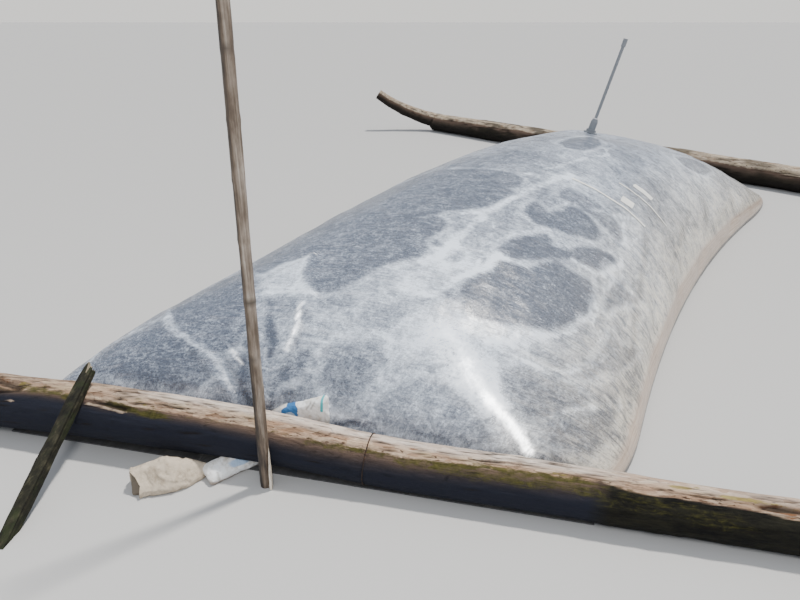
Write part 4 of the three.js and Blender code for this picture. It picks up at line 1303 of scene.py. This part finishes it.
def make_rear_log():
    path, radii = log_path(REAR_LOG, REAR_LOG_FORM)
    bar = Bar("rear_log", path, 110, 330)
    log, along, angle = bar.piece, bar.along, bar.angle
    radius = bar.radius_from(radii)
    around = bar.points(radius)
    skin = cloud(around, (0.9, 2.4, 2.4), 51) * 0.008 + cloud(around, (3.0, 18, 18), 52, 4) * 0.004 - 0.004
    random.seed(11)
    cracks = draw_cracks(bar.unrolled(REAR_BARK), REAR_BARK, REAR_CRACKS, *REAR_CRACK_SIZES)
    torn = rising(cloud(around, (2.2, 5, 5), 53, 4), 0.16, 0.12) * 0.7
    skin += torn * 0.006 - cracks * REAR_CRACK_DEPTH
    bar.lay(bar.radial * (radius + skin * (bar.radial > 0.99)), bar.rough_ends(around, 20, 54, 0.012))
    lit_reach = np.interp(along, (0.2, 1.4, 3.0), (66, 58, 52)) + cloud(around, (3, 9, 9), 55) * 6
    store(log, "shade", np.maximum(-angle - lit_reach, angle - 80) / 60)
    store(log, "bark", torn * np.interp(along, (0.5, 2.5), (0.55, 1.0)))
    store(log, "crack", cracks)
    store(log, "radial", bar.radial)
    smooth(log, 70)
    return finish_piece(log, "old_wood", "rear_log")


LIMB_PATH = (
    (-3.720, 4.830, 0.160), (-3.990, 4.750, 0.225), (-4.290, 4.600, 0.345), (-4.490, 4.480, 0.465),
    (-4.660, 4.392, 0.590),
)
LIMB_RADII = (0.122, 0.112, 0.096, 0.088, 0.080)
# A swelling where a twig was cut: place along, half width and height
LIMB_SWELLING = (0.62, 0.05, 0.006)


def make_limb():
    bar = Bar("rear_log_limb", LIMB_PATH, 40, 90)
    limb = bar.piece
    radius = bar.radius_from(LIMB_RADII)
    around = bar.points(radius)
    place, width, height = LIMB_SWELLING
    skin = cloud(around, (4, 22, 22), 71, 4) * 0.005 - 0.003 + height * bell(bar.along - place, width)
    bar.lay(bar.radial * (radius + skin), bar.rough_ends(around, 60, 72, 0.008))
    store(limb, "shade", np.maximum(-bar.angle - 60, bar.angle - 80) / 60)
    store(limb, "crack", np.clip(cloud(around, (5, 40, 40), 73) * 2 - 0.6, 0, 1))
    store(limb, "radial", bar.radial)
    smooth(limb, 70)
    return finish_piece(limb, "old_wood", "rear_log_limb")


POLE_PATH = ((0.089, -3.297, 0.0), (0.128, -3.272, 2.4))
POLE_RADIUS, POLE_TAPER = 0.0235, 0.0025
POLE_KNOTS = (0.17, 0.472, 0.628, 0.858, 1.089, 1.301, 1.496, 1.72, 1.95, 2.18)
# A knot's ring leans by this much, and a split runs up from the foot
KNOT_LEAN = 0.004
SPLIT_HEIGHT, SPLIT_ANGLE, SPLIT_DEPTH = 0.42, -70, 0.004
# Degrees round the pole where its painted shade is deepest
SHADE_SIDE_ANGLE = 123


def make_pole():
    """A bamboo pole with knots, a split foot, and painted shade on the side away from the sun, darker toward
    the foot.
    """
    bar = Bar("bamboo_pole", POLE_PATH, 36, 420, 2)
    pole, along, angle = bar.piece, bar.along, bar.angle
    radius = POLE_RADIUS - POLE_TAPER * along / bar.length
    around = bar.points(radius)
    skin = cloud(around, (3, 40, 40), 81, 4) * 0.0012 + cloud(around, (1.6, 8, 8), 82) * 0.0012
    knot = np.zeros(len(along))
    for index, height in enumerate(POLE_KNOTS):
        off = along - height - KNOT_LEAN * np.sin(np.radians(angle + 70 * index))
        skin += 0.0020 * bell(off, 0.006) - 0.0010 * bell(off + 0.012, 0.005)
        knot = np.maximum(knot, bell(off + 0.006, 0.006))
    split = bell(angle - SPLIT_ANGLE + 6 * np.sin(along * 9), 5) * (along < SPLIT_HEIGHT)
    skin -= split * SPLIT_DEPTH
    bar.lay(bar.radial * (radius + skin))
    store(pole, "knot", np.clip(knot + split, 0, 1))
    low_down = 0.5 * falling(along, SPLIT_HEIGHT, 0.2)
    store(pole, "dark_side", np.clip(np.cos(np.radians(angle - SHADE_SIDE_ANGLE)) * 1.2, 0, 1) + low_down)
    smooth(pole, 60)
    return finish_piece(pole, "bamboo", "bamboo_pole")


STAKE_PATH = ((-0.508, -4.088, -0.018), (-0.821, -3.441, 0.345))
# Half thickness and half width of the split timber, and the radius that its corners lean to
STAKE_HALVES, STAKE_ROUND = (0.025, 0.027), 0.029
STAKE_GROOVES = ((62, 5, 11, 7), (-40, 4, 7, 6))
GROOVE_DEPTH = 0.005
PRONG_START = 0.05


def make_stake():
    """A split timber with two broken prongs at the upper end."""
    bar = Bar("prop_stake", STAKE_PATH, 72, 150, 5)
    stake, along, angle, radial = bar.piece, bar.along, bar.angle, bar.radial
    turn = np.radians(angle)
    thick, wide = STAKE_HALVES
    square = 1 / np.maximum(np.abs(np.cos(turn)) / thick, np.abs(np.sin(turn)) / wide)
    body = 0.85 * square + 0.15 * STAKE_ROUND
    around = bar.points(body)
    skin = cloud(around, (5, 34, 34), 91, 4) * 0.0035 + cloud(around, (2, 9, 9), 92) * 0.003 - 0.002
    groove = sum(bell(angle - middle + sway * np.sin(along * waves), width)
                 for middle, sway, waves, width in STAKE_GROOVES)
    skin -= groove * GROOVE_DEPTH
    across, high = radial * np.sin(turn), radial * np.cos(turn)
    prongs = 0.030 * bell(across + 0.45, 0.28) - 0.028 * bell(across - 0.15, 0.22)
    prongs = prongs + 0.012 * cloud(np.stack([across * 8, high * 8, across], -1), 1.0, 93) - 0.008
    near_top = np.clip((along - bar.length + PRONG_START) / PRONG_START, 0, 1)
    ends = np.where(along > bar.length / 2, prongs * near_top, 0)
    bar.lay(radial * (body + skin) * (1 - 0.1 * near_top), ends)
    move_to(stake, kept_above(places(stake)))
    store(stake, "fresh", near_top * (radial < 0.95))
    store(stake, "crack", groove)
    smooth(stake, 35)
    return finish_piece(stake, "dark_timber", "prop_stake")


# Sacks

CLOTH_PRESSURE, CLOTH_FRAMES = 4, 20
# Height at which the sacks lie clear of the floor
SACK_BASE = 0.0015
LENGTHWISE = (0, 2)


def fill_cloth(piece, voxel, cap, slack):
    """Fills a sack by a short cloth simulation, then rounds its facets once."""
    modify(piece, "REMESH", mode="VOXEL", voxel_size=voxel, use_smooth_shade=True)
    before = places(piece)
    select_only(piece)
    cloth = piece.modifiers.new("Cloth", "CLOTH")
    cloth.settings.use_pressure = True
    cloth.settings.uniform_pressure_force = CLOTH_PRESSURE
    cloth.settings.shrink_min = -slack
    cloth.settings.effector_weights.gravity = 0
    for step in range(1, CLOTH_FRAMES + 1):
        bpy.context.scene.frame_set(step)
    filled = piece.evaluated_get(bpy.context.evaluated_depsgraph_get()).data
    move = read(filled.vertices, "co") - before
    piece.modifiers.remove(cloth)
    bpy.context.scene.frame_set(1)
    far = np.linalg.norm(move, axis=1)[:, None]
    move_to(piece, before + move * np.minimum(1, cap / np.maximum(far, 1e-9)))
    modify(piece, "SUBSURF", levels=1, render_levels=1)


def block_out(name, cuts):
    """A cube with its faces cut, and its points' places from -1 to 1 along each axis."""
    bpy.ops.object.select_all(action="DESELECT")
    bpy.ops.mesh.primitive_cube_add(size=2)
    piece = named(name)
    edit(piece, pick_faces=lambda face: True)
    bpy.ops.mesh.subdivide(number_cuts=cuts)
    close_edit()
    return piece, *places(piece).T


def turned(local, centre, turn):
    c, s = math.cos(turn), math.sin(turn)
    x, y, z = local.T
    return np.stack([centre[0] + c * x - s * y, centre[1] + s * x + c * y, centre[2] + z], -1)


def unturned(co, centre, turn):
    return turned(co - centre, (0, 0, 0), -turn)


def off_side_line(local, line):
    """Distance of each place from a line of (along, height), seen from the sack's long side."""
    return off_stops(local[:, LENGTHWISE], np.array(line))


# Plain sack: the open end's rolled lip and the creases, as (along, height) from its middle in metres
PLAIN_LIP = ((-0.142, 0.090), (-0.120, 0.076), (-0.101, 0.050), (-0.108, 0.006))
PLAIN_CREASES = (
    ((-0.090, 0.080), (-0.060, 0.045), (-0.070, 0.010)), ((0.000, 0.110), (0.030, 0.060), (0.020, 0.015)),
    ((0.060, 0.090), (0.050, 0.050), (0.085, 0.020)), ((-0.030, 0.100), (-0.010, 0.070), (0.070, 0.040)),
)
CREASE_DEPTH, CREASE_WIDTH = 0.0045, 0.007


def make_plain_sack():
    """A slack sack with a sharp ridge, its open end rolled back on the left and a corner on the right."""
    centre, turn = (-0.266, -3.508, 0.0), math.radians(45)
    piece, x, y, z = block_out("plain_sack", 19)
    wide = np.interp(x, (-1, -0.6, 0, 0.5, 0.85, 1), (0.74, 0.98, 1.0, 0.84, 0.50, 0.26))
    tall = np.interp(x, (-1, -0.8, -0.10, 0.3, 0.7, 1), (0.66, 0.76, 1.0, 0.86, 0.56, 0.32))
    tent = np.clip(1 - np.abs(y - 0.12 * (1 - y * y)) ** 1.30, 0, 1) ** 0.95
    top = 0.010 + 0.114 * tall * tent
    bend = 0.026 * np.interp(x, (-1, 0.2, 1), (-0.4, 0, 1))
    local = np.stack([0.152 * x, 0.084 * y * wide + bend, 0.002 + top * (z + 1) / 2], -1)
    move_to(piece, turned(local, centre, turn))
    fill_cloth(piece, 0.006, 0.006, 0.06)
    co = places(piece)
    local = unturned(co, centre, turn)
    u, v, h = local.T
    near = falling(v, 0.02, 0.02)
    lip_along, lip_height = zip(*reversed(PLAIN_LIP))
    hollow = np.clip((np.interp(h, lip_height, lip_along) - u) / 0.010, 0, 1) * near
    wrinkle = cloud(co, (7, 7, 10), 101, 2) * 0.0030
    wrinkle += 0.006 * bell(off_side_line(local, PLAIN_LIP), 0.008) * near
    for index, line in enumerate(PLAIN_CREASES):
        away = off_side_line(local + cloud(co, 14, 120 + index)[:, None] * 0.006, line)
        wrinkle += (CREASE_DEPTH if index % 2 else -CREASE_DEPTH) * bell(away, CREASE_WIDTH)
    along, across = (math.cos(turn), math.sin(turn), 0), (-math.sin(turn), math.cos(turn), 0)
    inward = np.array(along) * 0.6 + np.array(across) * 0.8
    co = pushed_out(piece, wrinkle) + inward * (0.022 * hollow)[:, None]
    move_to(piece, kept_above(co, SACK_BASE))
    # Painted shade in the hollow of the rolled open end
    store(piece, "fold", np.clip(hollow * falling(h, 0.086, 0.02) * 1.1, 0, 1))
    store(piece, "rust", 0.5 * np.clip(1 - h / 0.016, 0, 1))
    smooth(piece, 50)
    return finish_piece(piece, "woven_sack", "plain_sack")


def make_printed_sack():
    """A folded sack that leans on the log's foot."""
    centre, turn = (-0.097, -3.300, 0.0), math.radians(68)
    half_length, half_width = 0.118, 0.048
    piece, x, y, z = block_out("printed_sack", 13)
    seam = np.sqrt(np.clip(1.02 - np.abs(y) ** 4, 0, 1)) * np.sqrt(np.clip(1.03 - np.abs(x) ** 8, 0, 1))
    tall = np.interp(x, (-1, -0.4, 0.4, 1), (0.66, 0.86, 1.06, 1.02))
    height = 0.038 * tall + 0.010 * y + z * (0.004 + 0.032 * tall * seam)
    move_to(piece, turned(np.stack([half_length * x, half_width * y, height], -1), centre, turn))
    fill_cloth(piece, 0.005, 0.007, 0.08)
    co = kept_above(pushed_out(piece, cloud(places(piece), 11, 103) * 0.0040), SACK_BASE)
    move_to(piece, co)
    local = unturned(co, centre, turn)
    u, w, h = local[:, 0] / half_length, local[:, 1] / half_width, local[:, 2]
    store(piece, "pale", 1.1 * bell(u - 0.15, 0.50) * bell(h - 0.060, 0.016))
    store(piece, "rust", np.clip(1 - (h - 0.004) / 0.026, 0, 1) * (w < 0.3) + 0.5 * bell(u + 1.0, 0.12))
    # Painted shade in the hollow beside the fold flap
    store(piece, "fold", bell(u + 0.72, 0.05) * 0.6 * (h < 0.05))
    smooth(piece, 60)
    return finish_piece(piece, "white_sack", "printed_sack")


# Two dark smudges near the pad's straight end, as (along, height)
PAD_SMUDGES = (((0.050, 0.090), (0.068, 0.118)), ((0.072, 0.096), (0.086, 0.124)))


def make_pad():
    """A flat folded sack wedged between the front log and the bag, cut straight at its right end."""
    centre, turn = (0.031, -3.008, 0.130), math.radians(20)
    half_length, shown_half = 0.134, 0.137
    piece, x, y, z = block_out("sack_pad", 15)
    crest = np.interp(x, (-1, -0.5, 0.2, 1), (0.045, 0.080, 0.116, 0.148))
    seam = np.sqrt(np.clip(1.03 - np.abs(z) ** 3, 0, 1)) * np.sqrt(np.clip(1.04 - np.abs(x) ** 10, 0, 1))
    splay = 0.026 * np.clip(x, 0, 1) * (1 - (z + 1) / 2)
    local = np.stack([half_length * x + splay, 0.004 + y * (0.006 + 0.022 * seam), crest * (z + 1) / 2], -1)
    move_to(piece, turned(local, centre, turn))
    fill_cloth(piece, 0.005, 0.006, 0.06)
    co = pushed_out(piece, cloud(places(piece), (10, 10, 16), 105) * 0.0035)
    move_to(piece, co)
    local = unturned(co, centre, turn)
    u, h = local[:, 0] / shown_half, local[:, 2]
    wave = 0.012 * np.sin(u * 9) + cloud(local, 22, 106) * 0.012
    smudge = np.minimum(*(off_side_line(local, line) for line in PAD_SMUDGES))
    store(piece, "blue", bell(u + 0.14 + wave * 6, 0.30, 4) * bell(h + wave - 0.070, 0.024, 4))
    store(piece, "pale", 0.8 * bell(u + 0.30, 0.45, 4) * bell(h + wave * 1.6 - 0.052, 0.040, 4))
    store(piece, "teal", 0.8 * bell(u - 0.88, 0.06) * (h > 0.085))
    store(piece, "fold", 0.7 * bell(smudge, 0.0045))
    store(piece, "rust", 0.6 * bell(u - 0.98, 0.07) * (h < 0.09) + 0.4 * bell(u + 0.62, 0.05))
    smooth(piece, 60)
    return finish_piece(piece, "white_sack", "sack_pad")


# Small fittings

SPLINT_FOOT, SPLINT_TURN, SPLINT_HEIGHT = (0.123, -3.300, 0.0), 0.55, 0.203


def make_splint():
    """Split slivers driven in beside the pole's foot."""
    piece, x, y, z = block_out("pole_foot_splint", 9)
    height = (z + 1) / 2
    taper = np.interp(height, (0, 0.35, 0.8, 1), (1.0, 0.9, 0.5, 0.10))
    thick = 0.0045 * x * taper + 0.010 * height ** 2 * 0.4
    wide = 0.013 * y * taper + 0.004 * height
    local = np.stack([thick, wide, 0.002 + SPLINT_HEIGHT * height], -1)
    local[:, 0] += cloud(local, 40, 111) * 0.0012
    move_to(piece, turned(local, SPLINT_FOOT, SPLINT_TURN))
    smooth(piece, 50)
    return finish_piece(piece, "split_wood", "pole_foot_splint")


# Metres along the front log, half thickness, its distance from the bark and its lean
WIRE_STATION, WIRE_RADIUS, WIRE_CLEAR, WIRE_LEAN = 2.30, 0.0025, 0.002, 0.008
# The bark is felt in a slice this wide to each side, at so many stops and this many radians round each
WIRE_SLICE, WIRE_STOPS, WIRE_FEEL = 0.02, 73, 0.09


def make_wire(log):
    """A wire loop that hugs the front log."""
    (ax, ay), (bx, by) = FRONT_LOG
    length = math.hypot(bx - ax, by - ay)
    share = WIRE_STATION / length
    shares, radii, unders = zip(*FRONT_LOG_FORM)
    middle = BEDDING * np.interp(share, shares, radii) + np.interp(share, shares, unders)
    start = np.array((ax + (bx - ax) * share, ay + (by - ay) * share, middle))
    axis = np.array(((bx - ax) / length, (by - ay) / length, 0))
    side = np.cross(axis, (0, 0, 1.0))
    side /= np.linalg.norm(side)
    top = np.cross(side, axis)
    co = places(log) - start
    along = co @ axis
    ring = np.abs(along) < WIRE_SLICE
    flat = co[ring] - np.outer(along[ring], axis)
    angles = np.arctan2(flat @ side, flat @ top)
    reach = np.linalg.norm(flat, axis=1)
    stops = np.linspace(-math.pi, math.pi, WIRE_STOPS)
    skin = np.array([
        reach[np.abs((angles - stop + math.pi) % (2 * math.pi) - math.pi) < WIRE_FEEL].max() for stop in stops
    ])
    bpy.ops.object.select_all(action="DESELECT")
    bpy.ops.mesh.primitive_torus_add(
        major_segments=144, minor_segments=10, major_radius=1, minor_radius=WIRE_RADIUS)
    wire = named("log_wire_tie")
    x, y, z = places(wire).T
    angle = np.arctan2(y, x)
    around = np.interp(angle, stops, skin) + WIRE_CLEAR + (np.hypot(x, y) - 1)
    outward = np.outer(np.cos(angle), top) + np.outer(np.sin(angle), side)
    move_to(wire, start + np.outer(z + WIRE_LEAN * np.cos(angle), axis) + outward * around[:, None])
    smooth(wire, 60)
    return finish_piece(wire, "dark_wire", "log_wire_tie")


# Finishes by slot; the part's nodes that keep their own meshes take theirs from here too
PAINTS = {
    "clear_film": flat_film_material(),
    "slurry": crust_material(),
    # The logs' side and under tones are painted shade, the wood's colours past the edge of the light and
    # beneath
    "log_wood": log_material(
        "log wood", FRONT_LOG, lit=(0.43, 0.27, 0.17), pale=(0.66, 0.50, 0.36), side=(0.058, 0.043, 0.038),
        under=(0.013, 0.015, 0.025)),
    "old_wood": log_material(
        "old log wood", REAR_LOG, lit=(0.42, 0.34, 0.25), pale=(0.62, 0.52, 0.40),
        side=(0.100, 0.076, 0.056), under=(0.016, 0.013, 0.011)),
    "bamboo": bamboo_material(),
    "split_wood": split_wood_material(),
    "dark_timber": dark_timber_material(),
    "dark_wire": wire_material(),
    "woven_sack": sack_material("dusty sack", (0.52, 0.44, 0.34), (0.27, 0.215, 0.155)),
    "white_sack": sack_material("printed sack", (0.82, 0.83, 0.83), (0.50, 0.45, 0.37)),
    "grey_plastic": plastic_material("grey plastic", (0.20, 0.215, 0.235), 0.35),
    "white_plastic": plastic_material("white glue", (0.75, 0.75, 0.74), 0.4),
    "white_tape": plastic_material("white tape", (0.82, 0.81, 0.76), 0.4),
}


def paint_nodes():
    """Gives every CAD node the finish of its slot."""
    slots = {row["node"]: row["material_slot"] for row in frame["record"]["subparts"]}
    for name, node in frame["nodes"].items():
        for material_slot in node.material_slots:
            material_slot.material = PAINTS[slots[name]]


def main():
    lay_floor()
    place_camera()
    add_sun()
    add_soft_light()
    add_sky()
    make_bag()
    make_crust()
    make_patch("patch_large", 0.433, 49.3, 0.165, 0.070, rounded=0.2)
    make_patch("patch_small", 0.375, 50.5, 0.095, 0.110, turn=0.1, rounded=0.2)
    make_patch("strip_front", 0.355, 54.5, 0.560, 0.022)
    make_patch("strip_rear", 0.411, 46, 0.440, 0.014)
    log = make_front_log()
    make_wire(log)
    make_rear_log()
    make_limb()
    make_pole()
    make_splint()
    make_stake()
    make_plain_sack()
    make_printed_sack()
    make_pad()
    paint_nodes()


main()
